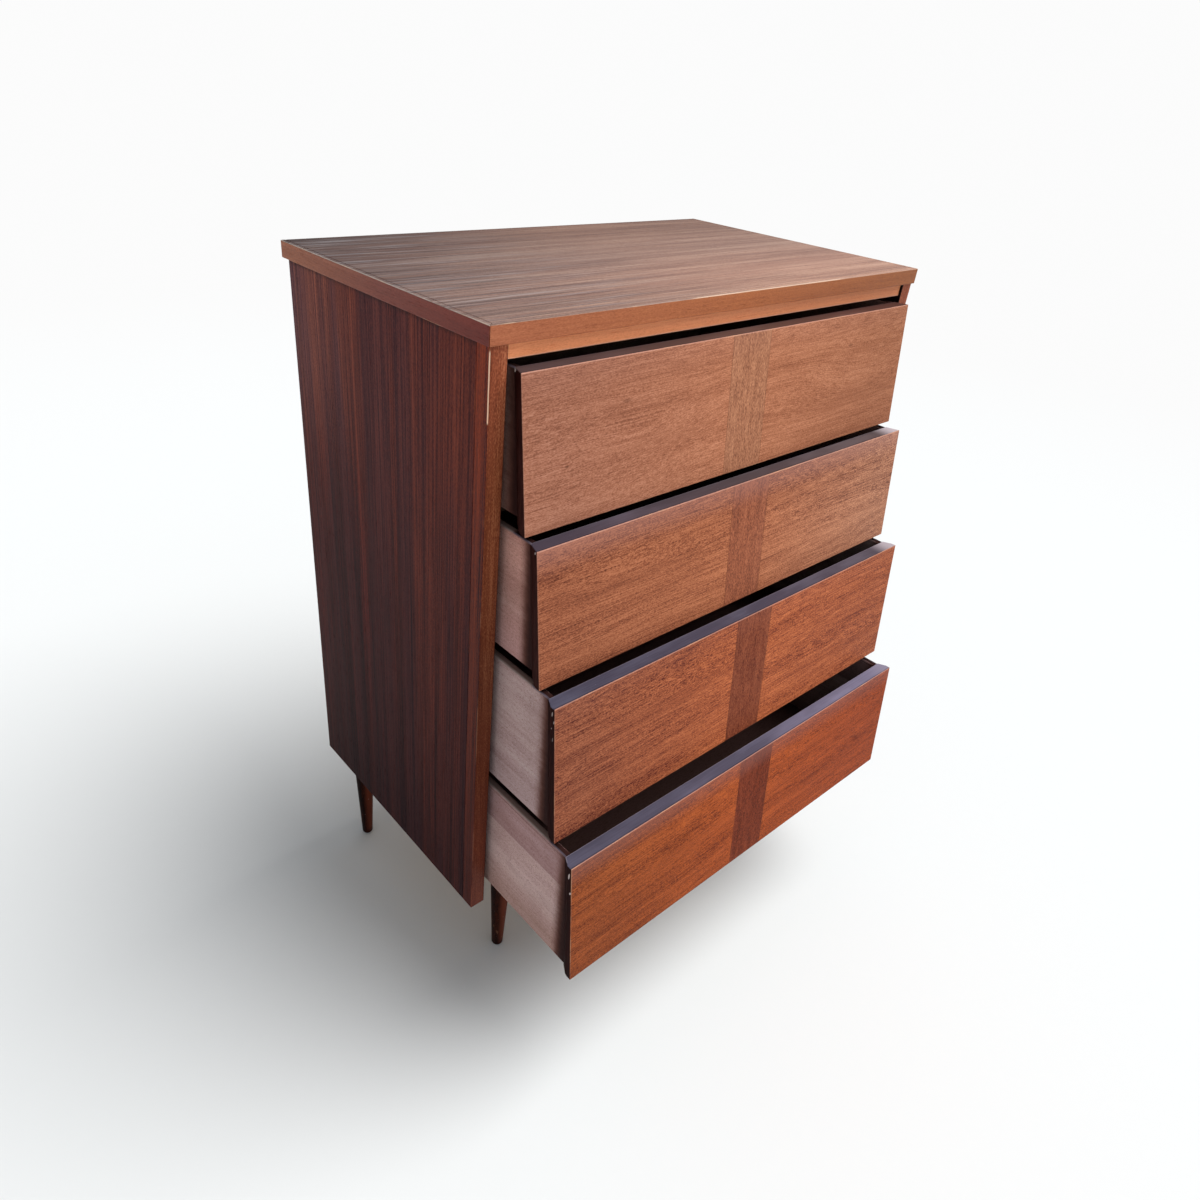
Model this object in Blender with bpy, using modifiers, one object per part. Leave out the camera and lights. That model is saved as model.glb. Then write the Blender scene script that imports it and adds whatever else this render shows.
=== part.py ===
"""A tall chest of four drawers on tapered round legs, in metres with +Z up and its front facing -Y.

The origin lies on the floor under the middle of the whole chest, counted with its drawers open as they stand.
Each drawer hangs from an empty of its own, which slides along Y, and is modelled where it sits when it is shut.
"""

from __future__ import annotations

import math
from dataclasses import dataclass

import bmesh
import bpy
from mathutils import Vector

# Clearances and edges
SEAT = 0.0003
RUNNING_GAP = 0.0003
OVERRUN = 0.002
EDGE_ROUND = 0.0008
EDGE_SEGMENTS = 2
WELD = 0.00001

# Case
CASE_WIDTH = 0.800
CASE_DEPTH = 0.442
FLOOR_CLEARANCE = 0.204
SIDE_THICKNESS = 0.019
STILE_WIDTH = 0.0235
STILE_DEPTH = 0.022
RAIL_HEIGHT = 0.017
RAIL_THICKNESS = 0.020
RAIL_RECESS = 0.0035
BACK_THICKNESS = 0.004
BACK_RABBET = 0.009
BACK_RAIL_HEIGHT = 0.060
BACK_RAIL_THICKNESS = 0.012
DADO_DEPTH = 0.006

# Top
TOP_THICKNESS = 0.0215
TOP_OVERHANG = 0.003
TOP_BACK_OVERHANG = 0.013
TOP_BAND = 0.007

# Frames under the drawers, and the bottom
FRAME_SETBACK = 0.025
FRAME_THICKNESS = 0.014
FRAME_RAIL_DEPTH = 0.060
RUNNER_SHELF = 0.045
BOTTOM_THICKNESS = 0.016
GUIDE_WIDTH = 0.030
GUIDE_HEIGHT = 0.008
GUIDE_SETBACK = 0.005
GUIDE_PLAY = 0.0008

# Legs
LEG_FROM_BOTTOM_EDGE = 0.0215
FRONT_LEG_INWARD = 0.051
LEG_TOP_DIAMETER = 0.038
LEG_TIP_DIAMETER = 0.019
LEG_TIP_ROUND = 0.002
LEG_TOP_CHAMFER = 0.0015
LEG_SWELL = 0.0006
LEG_STEPS = 8
LEG_SIDES = 40
BOLT_DIAMETER = 0.008
BOLT_LENGTH = 0.009
BOLT_SIDES = 20
LEG_BLOCK_MARGIN = 0.004
LEG_BLOCK_DEPTH = 0.060
LEG_BLOCK_THICKNESS = 0.012

# Drawer fronts, from the top drawer down
FACE_HEIGHTS = (0.178, 0.177, 0.204, 0.1995)
GAPS_ABOVE = (0.008, 0.0075, 0.008, 0.0145)
LIPS_BELOW_BOX = (0.0145, 0.013, 0.0075, 0.0065)
OPEN_AT_REST = (0.0375, 0.081, 0.1325, 0.190)
BOTTOM_REVEAL = 0.0265
FRONT_SIDE_GAP = 0.0028
FACE_LEAN = 0.022
FACE_PROUD = 0.003
FRONT_THICKNESS = 0.0204
PULL_FLAT = 0.005
PULL_RISE = 0.006
END_LIP_TOP = 0.0075
END_LIP_BOTTOM = 0.0105

# Drawer boxes
BOX_INSET = 0.0073
BOX_SIDE_THICKNESS = 0.010
BOX_SIDE_ROUND = 0.003
BOX_SIDE_ROUND_SEGMENTS = 3
BOX_BACK_THICKNESS = 0.010
BOX_BACK_INSET = 0.010
BOX_BACK_DROP = 0.006
BOX_REAR_CLEARANCE = 0.010
BOX_BOTTOM_THICKNESS = 0.004
BOX_BOTTOM_UP = 0.014
GROOVE_DEPTH = 0.004
FRONT_GROOVE_DEPTH = 0.006
TONGUE_LENGTH = 0.006
TONGUE_THICKNESS = 0.006
TONGUE_STOP = 0.012
CHANNEL_BLOCK_WIDTH = 0.052
CHANNEL_BLOCK_LIFT = 0.0015
CHANNEL_HEADROOM = 0.001

# Worked out from the sizes above
SIDE_HEIGHT = RAIL_HEIGHT + sum(GAPS_ABOVE) + sum(FACE_HEIGHTS) + BOTTOM_REVEAL
HALF_CASE = CASE_WIDTH / 2
SIDE_INNER = HALF_CASE - SIDE_THICKNESS
STILE_INNER = HALF_CASE - STILE_WIDTH
HALF_FACE = STILE_INNER - FRONT_SIDE_GAP
HALF_BOX = HALF_FACE - BOX_INSET
BOX_INNER = HALF_BOX - BOX_SIDE_THICKNESS
CASE_TOP = FLOOR_CLEARANCE + SIDE_HEIGHT
BACK_FACE = CASE_DEPTH - BACK_THICKNESS
CASE_BACK_INNER = BACK_FACE - SEAT
TOP_HALF = HALF_CASE + TOP_OVERHANG
TOP_FRONT = -TOP_OVERHANG
TOP_BACK = CASE_DEPTH + TOP_BACK_OVERHANG
BOX_END = CASE_BACK_INNER - BACK_RAIL_THICKNESS - BOX_REAR_CLEARANCE
LEG_BLOCK_HALF = LEG_TOP_DIAMETER / 2 + LEG_BLOCK_MARGIN
BACK_LEG_X = SIDE_INNER - SEAT - LEG_BLOCK_HALF
LEG_INSET = FRAME_SETBACK + LEG_FROM_BOTTOM_EDGE
FRONT_REACH = max(OPEN_AT_REST) + FACE_PROUD
CASE_FRONT_Y = (FRONT_REACH - TOP_BACK) / 2

# Wood and paint: colour, roughness
FINISHES = {
    "veneer_front": ((0.42, 0.16, 0.075), 0.38),
    "veneer_side": ((0.11, 0.040, 0.028), 0.40),
    "veneer_top": ((0.22, 0.115, 0.075), 0.35),
    "solid_edge": ((0.30, 0.105, 0.045), 0.38),
    "leg_wood": ((0.060, 0.022, 0.014), 0.32),
    "box_wood": ((0.42, 0.31, 0.25), 0.70),
    "frame_wood": ((0.38, 0.25, 0.15), 0.75),
    "hardboard": ((0.16, 0.095, 0.055), 0.80),
}


@dataclass(frozen=True)
class Drawer:
    """One drawer's own sizes. Its heights are counted up from the lower edge of its face."""

    number: int
    face_bottom: float
    height: float
    lip: float
    open_by: float

    @property
    def name(self):
        return f"drawer_{self.number}"

    @property
    def box_bottom(self):
        """Height of the box's lower edge above the floor."""
        return FLOOR_CLEARANCE + self.face_bottom + self.lip

    @property
    def panel_low(self):
        """Height of the thin bottom's underside above the face's lower edge."""
        return self.lip + BOX_BOTTOM_UP

    @property
    def panel_high(self):
        return self.panel_low + BOX_BOTTOM_THICKNESS

    @property
    def stop(self):
        """Height at which the joint between front and side ends, below the painted strip."""
        return self.height - TONGUE_STOP

    def face(self, height):
        """Y of the slanted face at a height, with the drawer shut."""
        return FACE_LEAN * height / self.height - FACE_PROUD

    def back(self, height):
        """Y of the slab's back at a height, with the drawer shut."""
        return self.face(height) + FRONT_THICKNESS

    def leaning_band(self, start, end, low, high):
        """Outline in Y and Z that follows the slab's back, from start to end as measured from that back."""
        return [
            (self.back(low) + start, low),
            (self.back(low) + end, low),
            (self.back(high) + end, high),
            (self.back(high) + start, high),
        ]


def list_drawers():
    """The four drawers from the top down, each placed under the one above it."""
    drawers = []
    edge = SIDE_HEIGHT - RAIL_HEIGHT
    rows = zip(FACE_HEIGHTS, GAPS_ABOVE, LIPS_BELOW_BOX, OPEN_AT_REST)
    for number, (height, gap, lip, open_by) in enumerate(rows, start=1):
        edge -= gap + height
        drawers.append(Drawer(number, edge, height, lip, open_by))
    return drawers


def clear_scene():
    for obj in list(bpy.data.objects):
        bpy.data.objects.remove(obj, do_unlink=True)


def make_finish(name, color, roughness):
    material = bpy.data.materials.new(name)
    material.use_nodes = True
    shader = material.node_tree.nodes["Principled BSDF"]
    shader.inputs["Base Color"].default_value = (*color, 1)
    shader.inputs["Roughness"].default_value = roughness
    shader.inputs["Metallic"].default_value = 0
    return material


def link_mesh(name, mesh, parent, finish=None):
    """Puts a mesh in the scene as a piece, or as a hidden cutter where it has no finish."""
    obj = bpy.data.objects.new(name, mesh)
    obj.parent = parent
    if finish is None:
        bpy.data.collections["cutters"].objects.link(obj)
        obj.hide_render = True
        obj.display_type = "WIRE"
    else:
        bpy.data.collections["tall_dresser"].objects.link(obj)
        mesh.materials.append(bpy.data.materials[finish])
    return obj


def box(name, low, high, parent, finish=None):
    """A board between two opposite corners, with its origin in its middle."""
    low, high = Vector(low), Vector(high)
    mesh = bpy.data.meshes.new(name)
    shape = bmesh.new()
    bmesh.ops.create_cube(shape, size=1)
    bmesh.ops.scale(shape, vec=high - low, verts=shape.verts)
    shape.to_mesh(mesh)
    shape.free()
    obj = link_mesh(name, mesh, parent, finish)
    obj.location = (low + high) / 2
    return obj


def outline_mesh(name, points, thickness):
    """A closed mesh of a flat outline, given its thickness by a filled curve, half to either side."""
    curve = bpy.data.curves.new(name, "CURVE")
    curve.dimensions = "2D"
    curve.fill_mode = "BOTH"
    curve.extrude = thickness / 2
    spline = curve.splines.new("POLY")
    spline.points.add(len(points) - 1)
    for point, (across, up) in zip(spline.points, points):
        point.co = (across, up, 0, 1)
    spline.use_cyclic_u = True
    guide = bpy.data.objects.new(name, curve)
    bpy.context.scene.collection.objects.link(guide)
    graph = bpy.context.evaluated_depsgraph_get()
    mesh = bpy.data.meshes.new_from_object(guide.evaluated_get(graph))
    mesh.name = name
    bpy.data.objects.remove(guide, do_unlink=True)
    shape = bmesh.new()
    shape.from_mesh(mesh)
    bmesh.ops.remove_doubles(shape, verts=shape.verts, dist=WELD)
    bmesh.ops.recalc_face_normals(shape, faces=shape.faces)
    shape.to_mesh(mesh)
    shape.free()
    return mesh


def upright_slab(name, points, x_low, x_high, parent, finish=None):
    """A piece whose outline lies in Y and Z, as seen from its side, and that runs from x_low to x_high."""
    obj = link_mesh(name, outline_mesh(name, points, x_high - x_low), parent, finish)
    obj.rotation_euler = (math.pi / 2, 0, math.pi / 2)
    obj.location.x = (x_low + x_high) / 2
    return obj


def flat_slab(name, points, z_low, z_high, parent, finish=None):
    """A piece whose outline lies in X and Y, as seen from above."""
    obj = link_mesh(name, outline_mesh(name, points, z_high - z_low), parent, finish)
    obj.location.z = (z_low + z_high) / 2
    return obj


def soften(obj, width=EDGE_ROUND):
    """Rounds every edge of a board a little."""
    bevel = obj.modifiers.new("edges", "BEVEL")
    bevel.width = width
    bevel.segments = EDGE_SEGMENTS
    bevel.limit_method = "ANGLE"
    return obj


def cut(obj, cutter):
    hole = obj.modifiers.new(cutter.name, "BOOLEAN")
    hole.operation = "DIFFERENCE"
    hole.solver = "EXACT"
    hole.object = cutter


def both_sides(name):
    """Name and sign of X for a left and a right piece."""
    return ((f"{name}_left", -1), (f"{name}_right", 1))


def span(sign, inner, outer):
    """The lower and upper X of something that reaches from inner to outer on one side of the middle."""
    return min(sign * inner, sign * outer), max(sign * inner, sign * outer)


def make_top(root):
    """A core panel with a front band and two side bands, mitred at the front corners."""
    low, high = CASE_TOP + SEAT, CASE_TOP + SEAT + TOP_THICKNESS
    inner = TOP_HALF - TOP_BAND
    front_inner = TOP_FRONT + TOP_BAND
    core_low = (SEAT - inner, front_inner + SEAT, low)
    core = box("top_panel", core_low, (inner - SEAT, TOP_BACK, high), root, "veneer_top")
    soften(core)
    front = [
        (SEAT - TOP_HALF, TOP_FRONT),
        (TOP_HALF - SEAT, TOP_FRONT),
        (inner - SEAT, front_inner),
        (SEAT - inner, front_inner),
    ]
    soften(flat_slab("top_edge_front", front, low, high, root, "solid_edge"))
    for name, sign in both_sides("top_edge"):
        side = [
            (sign * TOP_HALF, TOP_FRONT),
            (sign * TOP_HALF, TOP_BACK),
            (sign * inner, TOP_BACK),
            (sign * inner, front_inner),
        ]
        soften(flat_slab(name, side, low, high, root, "solid_edge"))


def dado(name, sign, low, high, root):
    """Cutter for a groove along the inner face of a side panel."""
    x_low, x_high = span(sign, SIDE_INNER - OVERRUN, SIDE_INNER + DADO_DEPTH)
    near, far = STILE_DEPTH - OVERRUN, CASE_DEPTH + OVERRUN
    return box(name, (x_low, near, low - SEAT), (x_high, far, high + SEAT), root)


def make_sides(root, drawers):
    """Side panels with dados for what they carry, a rabbet for the back and a solid stile in front."""
    for name, sign in both_sides("side_panel"):
        x_low, x_high = span(sign, SIDE_INNER, HALF_CASE)
        near = STILE_DEPTH + SEAT
        low, high = (x_low, near, FLOOR_CLEARANCE), (x_high, CASE_DEPTH, CASE_TOP)
        panel = soften(box(name, low, high, root, "veneer_side"))
        for drawer in drawers:
            below = drawer.box_bottom - RUNNING_GAP
            thickness = bed_thickness(drawer, drawers)
            cut(panel, dado(f"{name}_dado_{drawer.number}", sign, below - thickness, below, root))
        x_low, x_high = span(sign, SIDE_INNER - OVERRUN, SIDE_INNER + BACK_RABBET)
        rabbet_low = (x_low, CASE_BACK_INNER, FLOOR_CLEARANCE - OVERRUN)
        rabbet_high = (x_high, CASE_DEPTH + OVERRUN, CASE_TOP + OVERRUN)
        cut(panel, box(f"{name}_rabbet", rabbet_low, rabbet_high, root))
    for name, sign in both_sides("stile"):
        x_low, x_high = span(sign, STILE_INNER, HALF_CASE)
        low, high = (x_low, 0, FLOOR_CLEARANCE), (x_high, STILE_DEPTH, CASE_TOP)
        soften(box(name, low, high, root, "solid_edge"))


def bed_thickness(drawer, drawers):
    """Thickness of what a drawer slides on: the bottom panel under the lowest, a frame under the others."""
    return BOTTOM_THICKNESS if drawer is drawers[-1] else FRAME_THICKNESS


def make_rails_and_back(root, drawers):
    low = (SEAT - STILE_INNER, RAIL_RECESS, CASE_TOP - RAIL_HEIGHT)
    high = (STILE_INNER - SEAT, RAIL_RECESS + RAIL_THICKNESS, CASE_TOP)
    soften(box("top_rail", low, high, root, "solid_edge"))
    back_rail_front = CASE_BACK_INNER - BACK_RAIL_THICKNESS
    low = (SEAT - SIDE_INNER, back_rail_front, CASE_TOP - BACK_RAIL_HEIGHT)
    high = (SIDE_INNER - SEAT, CASE_BACK_INNER, CASE_TOP)
    soften(box("top_back_rail", low, high, root, "frame_wood"))
    half = SIDE_INNER + BACK_RABBET - SEAT
    foot = drawers[-1].box_bottom - RUNNING_GAP - BOTTOM_THICKNESS
    low, high = (-half, BACK_FACE, foot), (half, CASE_DEPTH, CASE_TOP)
    box("back_panel", low, high, root, "hardboard")


def make_guide(drawer, top, root):
    """Centre guide that the drawer's grooved block runs over."""
    name = f"centre_guide_{drawer.number}"
    near, far = FRAME_SETBACK + GUIDE_SETBACK, CASE_BACK_INNER - GUIDE_SETBACK
    low = (-GUIDE_WIDTH / 2, near, top + SEAT)
    high = (GUIDE_WIDTH / 2, far, top + SEAT + GUIDE_HEIGHT)
    soften(box(name, low, high, root, "frame_wood"))


def make_frame(drawer, root):
    """Open frame under a drawer: a front and a back rail, two side runners and the centre guide."""
    top = drawer.box_bottom - RUNNING_GAP
    low, half = top - FRAME_THICKNESS, SIDE_INNER + DADO_DEPTH - SEAT
    front_end = FRAME_SETBACK + FRAME_RAIL_DEPTH
    back_start = CASE_BACK_INNER - FRAME_RAIL_DEPTH
    rails = (("front", FRAME_SETBACK, front_end), ("back", back_start, CASE_BACK_INNER))
    for place, near, far in rails:
        name = f"divider_rail_{place}_{drawer.number}"
        soften(box(name, (-half, near, low), (half, far, top), root, "frame_wood"))
    for side, sign in both_sides("runner"):
        x_low, x_high = span(sign, SIDE_INNER - RUNNER_SHELF, half)
        near, far = front_end + SEAT, back_start - SEAT
        name = f"{side}_{drawer.number}"
        soften(box(name, (x_low, near, low), (x_high, far, top), root, "frame_wood"))
    make_guide(drawer, top, root)


def make_bottom(drawer, root):
    """Bottom panel that the lowest drawer runs on."""
    top, half = drawer.box_bottom - RUNNING_GAP, SIDE_INNER + DADO_DEPTH - SEAT
    low, high = (-half, FRAME_SETBACK, top - BOTTOM_THICKNESS), (half, CASE_BACK_INNER, top)
    soften(box("bottom_panel", low, high, root, "frame_wood"))
    make_guide(drawer, top, root)
    return top - BOTTOM_THICKNESS


def leg_profile(length):
    """Half outline of a leg, from the top of its bolt down to the floor, as radius and height."""
    tip, top = LEG_TIP_DIAMETER / 2, LEG_TOP_DIAMETER / 2
    bolt = BOLT_DIAMETER / 2
    points = [(0, length + BOLT_LENGTH), (bolt, length + BOLT_LENGTH), (bolt, length)]
    points += [(top - LEG_TOP_CHAMFER, length)]
    foot, head = LEG_TIP_ROUND, length - LEG_TOP_CHAMFER
    for step in range(LEG_STEPS + 1):
        share = step / LEG_STEPS
        radius = top + (tip - top) * share + LEG_SWELL * math.sin(math.pi * share)
        points.append((radius, head + (foot - head) * share))
    points += [(tip - LEG_TIP_ROUND * (1 - math.sqrt(0.5)), LEG_TIP_ROUND * (1 - math.sqrt(0.5)))]
    points += [(tip - LEG_TIP_ROUND, 0), (0, 0)]
    return points


def turned_mesh(name, profile, sides):
    """A closed mesh turned from a profile that runs down its outer side, from the axis back to the axis."""
    mesh = bpy.data.meshes.new(name)
    points = [(radius, 0, height) for radius, height in profile]
    mesh.from_pydata(points, [(i, i + 1) for i in range(len(points) - 1)], [])
    guide = bpy.data.objects.new(name, mesh)
    bpy.context.scene.collection.objects.link(guide)
    screw = guide.modifiers.new("turn", "SCREW")
    screw.steps = screw.render_steps = sides
    screw.use_merge_vertices = True
    screw.merge_threshold = WELD
    graph = bpy.context.evaluated_depsgraph_get()
    turned = bpy.data.meshes.new_from_object(guide.evaluated_get(graph))
    bpy.data.objects.remove(guide, do_unlink=True)
    turned.name = name
    turned.shade_smooth()
    turned.set_sharp_from_angle(angle=math.radians(35))
    return turned


def bore_block(name, block, x, y, low, root):
    """Cuts the hole for the leg's bolt through its block."""
    mesh = bpy.data.meshes.new(f"{name}_bore")
    shape = bmesh.new()
    radius, depth = BOLT_DIAMETER / 2 + SEAT, LEG_BLOCK_THICKNESS + 2 * OVERRUN
    bmesh.ops.create_cone(
        shape, cap_ends=True, segments=BOLT_SIDES, radius1=radius, radius2=radius, depth=depth
    )
    shape.to_mesh(mesh)
    shape.free()
    cutter = link_mesh(mesh.name, mesh, root)
    cutter.location = (x, y, low + LEG_BLOCK_THICKNESS / 2)
    cut(block, cutter)


def make_legs(root, underside):
    """Four turned legs, each bolted into a block under the bottom panel."""
    block_top = underside - SEAT
    block_low = block_top - LEG_BLOCK_THICKNESS
    leg_top = block_low - SEAT
    mesh = turned_mesh("leg", leg_profile(leg_top), LEG_SIDES)
    mesh.materials.append(bpy.data.materials["leg_wood"])
    back_y = CASE_DEPTH - LEG_INSET
    rows = (
        ("front", BACK_LEG_X - FRONT_LEG_INWARD, LEG_INSET, FRAME_SETBACK),
        ("back", BACK_LEG_X, back_y, back_y - LEG_BLOCK_DEPTH / 2),
    )
    for row, spread, y, near in rows:
        for side, sign in (("left", -1), ("right", 1)):
            x, far = sign * spread, near + LEG_BLOCK_DEPTH
            low, high = (x - LEG_BLOCK_HALF, near, block_low), (x + LEG_BLOCK_HALF, far, block_top)
            name = f"leg_block_{row}_{side}"
            block = soften(box(name, low, high, root, "frame_wood"))
            bore_block(name, block, x, y, block_low, root)
            leg = bpy.data.objects.new(f"leg_{row}_{side}", mesh)
            bpy.data.collections["tall_dresser"].objects.link(leg)
            leg.parent = root
            leg.location = (x, y, 0)


def bevel_ends(drawer, mesh):
    """Cuts the back of both ends away at a slant, so that the face ends in a thin lip at its top corners.

    The mesh is still in its outline's own axes: across is Y, up is Z and the extrusion is X.
    """
    shape = bmesh.new()
    shape.from_mesh(mesh)
    height = drawer.height
    for sign in (-1, 1):
        lip_top = Vector((drawer.face(height) + END_LIP_TOP, height, sign * HALF_FACE))
        lip_bottom = Vector((drawer.face(0) + END_LIP_BOTTOM, 0, sign * HALF_FACE))
        at_box = Vector((drawer.back(height), height, sign * HALF_BOX))
        normal = (lip_bottom - lip_top).cross(at_box - lip_top)
        if normal.x < 0:
            normal.negate()
        everything = [*shape.verts, *shape.edges, *shape.faces]
        result = bmesh.ops.bisect_plane(
            shape, geom=everything, dist=WELD, plane_co=lip_top, plane_no=normal, clear_outer=True
        )
        rim = [item for item in result["geom_cut"] if isinstance(item, bmesh.types.BMEdge)]
        bmesh.ops.contextual_create(shape, geom=rim)
    bmesh.ops.recalc_face_normals(shape, faces=shape.faces)
    shape.to_mesh(mesh)
    shape.free()


def make_front(drawer, slide):
    """Slanted slab with a level top strip, an undercut lower edge as finger pull, and bevelled ends."""
    height = drawer.height
    outline = [
        (drawer.face(0), 0),
        (drawer.face(0) + PULL_FLAT, 0),
        (drawer.back(PULL_RISE), PULL_RISE),
        (drawer.back(height), height),
        (drawer.face(height), height),
    ]
    name = f"{drawer.name}_front"
    front = upright_slab(name, outline, -HALF_FACE, HALF_FACE, slide, "veneer_front")
    bevel_ends(drawer, front.data)
    soften(front)
    socket = drawer.leaning_band(-TONGUE_LENGTH, OVERRUN, drawer.lip - SEAT, drawer.stop)
    for side, sign in both_sides(f"{name}_socket"):
        x_low, x_high = span(sign, BOX_INNER - SEAT, BOX_INNER + TONGUE_THICKNESS + SEAT)
        cut(front, upright_slab(side, socket, x_low, x_high, slide))
    half = BOX_INNER + GROOVE_DEPTH + SEAT
    groove_low, groove_high = drawer.panel_low - SEAT, drawer.panel_high + SEAT
    groove = drawer.leaning_band(-FRONT_GROOVE_DEPTH, OVERRUN, groove_low, groove_high)
    cut(front, upright_slab(f"{name}_groove", groove, -half, half, slide))


def round_top_edges(mesh, height):
    """Rounds the two long edges along the top of a box side. Its mesh has Z as its second axis."""
    shape = bmesh.new()
    shape.from_mesh(mesh)
    long_edges = []
    for edge in shape.edges:
        first, second = (vert.co for vert in edge.verts)
        level = abs(first.y - height) < WELD and abs(second.y - height) < WELD
        if level and abs(first.z - second.z) < WELD:
            long_edges.append(edge)
    bmesh.ops.bevel(
        shape,
        geom=long_edges,
        offset=BOX_SIDE_ROUND,
        offset_type="OFFSET",
        segments=BOX_SIDE_ROUND_SEGMENTS,
        profile=0.5,
        affect="EDGES",
    )
    shape.to_mesh(mesh)
    shape.free()


def box_side_outline(drawer):
    """Outline of a box side, with the tongue that enters the front's back and a little more room above it."""
    low, stop, top = drawer.lip, drawer.stop - SEAT, drawer.height
    reach, clear = SEAT - TONGUE_LENGTH, 2 * SEAT
    return [
        (drawer.back(low) + reach, low),
        (drawer.back(stop) + reach, stop),
        (drawer.back(stop) + clear, stop),
        (drawer.back(top) + clear, top),
        (BOX_END, top),
        (BOX_END, low),
    ]


def make_box_sides(drawer, slide):
    """The two box sides, each with a tongue in front, a groove for the bottom and a dado for the back."""
    groove_low, groove_high = drawer.panel_low - SEAT, drawer.panel_high + SEAT
    for name, sign in both_sides(f"{drawer.name}_side"):
        x_low, x_high = span(sign, BOX_INNER, HALF_BOX)
        outline = box_side_outline(drawer)
        side = upright_slab(name, outline, x_low, x_high, slide, "box_wood")
        round_top_edges(side.data, drawer.height)
        low, high = drawer.lip - OVERRUN, drawer.stop
        shoulder = drawer.leaning_band(-TONGUE_LENGTH - OVERRUN, SEAT, low, high)
        x_low, x_high = span(sign, BOX_INNER + TONGUE_THICKNESS, HALF_BOX + OVERRUN)
        cut(side, upright_slab(f"{name}_shoulder", shoulder, x_low, x_high, slide))
        x_low, x_high = span(sign, BOX_INNER - OVERRUN, BOX_INNER + GROOVE_DEPTH)
        low, high = (x_low, 0, groove_low), (x_high, BOX_END + OVERRUN, groove_high)
        cut(side, box(f"{name}_groove", low, high, slide))
        near = BOX_END - BOX_BACK_INSET - BOX_BACK_THICKNESS - SEAT
        far = BOX_END - BOX_BACK_INSET + SEAT
        low, high = (x_low, near, drawer.panel_high), (x_high, far, drawer.height + OVERRUN)
        cut(side, box(f"{name}_back_dado", low, high, slide))


def make_box_back_and_bottom(drawer, slide):
    """Box back, let into the sides, and the thin bottom in its grooves."""
    half, far = BOX_INNER + GROOVE_DEPTH - SEAT, BOX_END - BOX_BACK_INSET
    low = (-half, far - BOX_BACK_THICKNESS, drawer.panel_high + SEAT)
    high = (half, far, drawer.height - BOX_BACK_DROP)
    soften(box(f"{drawer.name}_back", low, high, slide, "box_wood"))
    near = drawer.back(drawer.panel_high) - FRONT_GROOVE_DEPTH + SEAT
    low, high = (-half, near, drawer.panel_low), (half, far, drawer.panel_high)
    box(f"{drawer.name}_bottom", low, high, slide, "hardboard")


def make_channel_block(drawer, slide):
    """Grooved block under the bottom, which straddles the centre guide."""
    half, far = CHANNEL_BLOCK_WIDTH / 2, BOX_END - BOX_BACK_INSET
    near = drawer.back(drawer.panel_low) + SEAT
    low = (-half, near, drawer.lip + CHANNEL_BLOCK_LIFT)
    high = (half, far, drawer.panel_low - SEAT)
    name = f"{drawer.name}_guide_block"
    block = soften(box(name, low, high, slide, "frame_wood"))
    play = GUIDE_WIDTH / 2 + GUIDE_PLAY
    roof = drawer.lip - RUNNING_GAP + SEAT + GUIDE_HEIGHT + CHANNEL_HEADROOM
    low, high = (-play, near - OVERRUN, drawer.lip - OVERRUN), (play, far + OVERRUN, roof)
    cut(block, box(f"{name}_channel", low, high, slide))


def make_drawer(drawer, root):
    slide = bpy.data.objects.new(f"{drawer.name}_slide", None)
    bpy.data.collections["tall_dresser"].objects.link(slide)
    slide.parent = root
    slide.location = (0, -drawer.open_by, FLOOR_CLEARANCE + drawer.face_bottom)
    make_front(drawer, slide)
    make_box_sides(drawer, slide)
    make_box_back_and_bottom(drawer, slide)
    make_channel_block(drawer, slide)


def make_chest():
    root = bpy.data.objects.new("chest_case_front", None)
    bpy.data.collections["tall_dresser"].objects.link(root)
    root.location = (0, CASE_FRONT_Y, 0)
    drawers = list_drawers()
    make_top(root)
    make_sides(root, drawers)
    make_rails_and_back(root, drawers)
    for drawer in drawers[:-1]:
        make_frame(drawer, root)
    underside = make_bottom(drawers[-1], root)
    make_legs(root, underside)
    for drawer in drawers:
        make_drawer(drawer, root)


def main():
    clear_scene()
    for name in ("tall_dresser", "cutters"):
        bpy.context.scene.collection.children.link(bpy.data.collections.new(name))
    bpy.data.collections["cutters"].hide_render = True
    for name, (color, roughness) in FINISHES.items():
        make_finish(name, color, roughness)
    make_chest()


main()
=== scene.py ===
"""Finishes, turned legs, nails and studio for a tall walnut dresser with four slanted drawer fronts."""

import logging
import math
from dataclasses import dataclass, field, replace
from enum import Enum

import bmesh
import bpy
from mathutils import Matrix, Vector


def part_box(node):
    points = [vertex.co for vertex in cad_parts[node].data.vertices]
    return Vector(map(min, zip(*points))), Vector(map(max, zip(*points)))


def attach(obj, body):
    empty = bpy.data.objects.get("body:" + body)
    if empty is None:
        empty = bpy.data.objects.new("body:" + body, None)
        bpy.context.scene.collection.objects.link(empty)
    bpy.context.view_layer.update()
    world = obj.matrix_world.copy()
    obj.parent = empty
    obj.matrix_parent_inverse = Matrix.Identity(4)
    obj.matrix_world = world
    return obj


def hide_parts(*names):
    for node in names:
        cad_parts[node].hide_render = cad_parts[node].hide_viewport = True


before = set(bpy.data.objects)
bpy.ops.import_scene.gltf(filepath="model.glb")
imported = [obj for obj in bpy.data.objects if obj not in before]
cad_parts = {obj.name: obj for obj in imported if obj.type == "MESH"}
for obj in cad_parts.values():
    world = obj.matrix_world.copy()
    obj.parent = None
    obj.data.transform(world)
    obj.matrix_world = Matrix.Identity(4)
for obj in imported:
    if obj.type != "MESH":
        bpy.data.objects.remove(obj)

LOG = logging.getLogger("dresser")
MILLIMETRE = 0.001
SMOOTH_ANGLE = math.radians(40)
WELD_DISTANCE = 0.00001
HEAD_SIDES = 12
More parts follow.
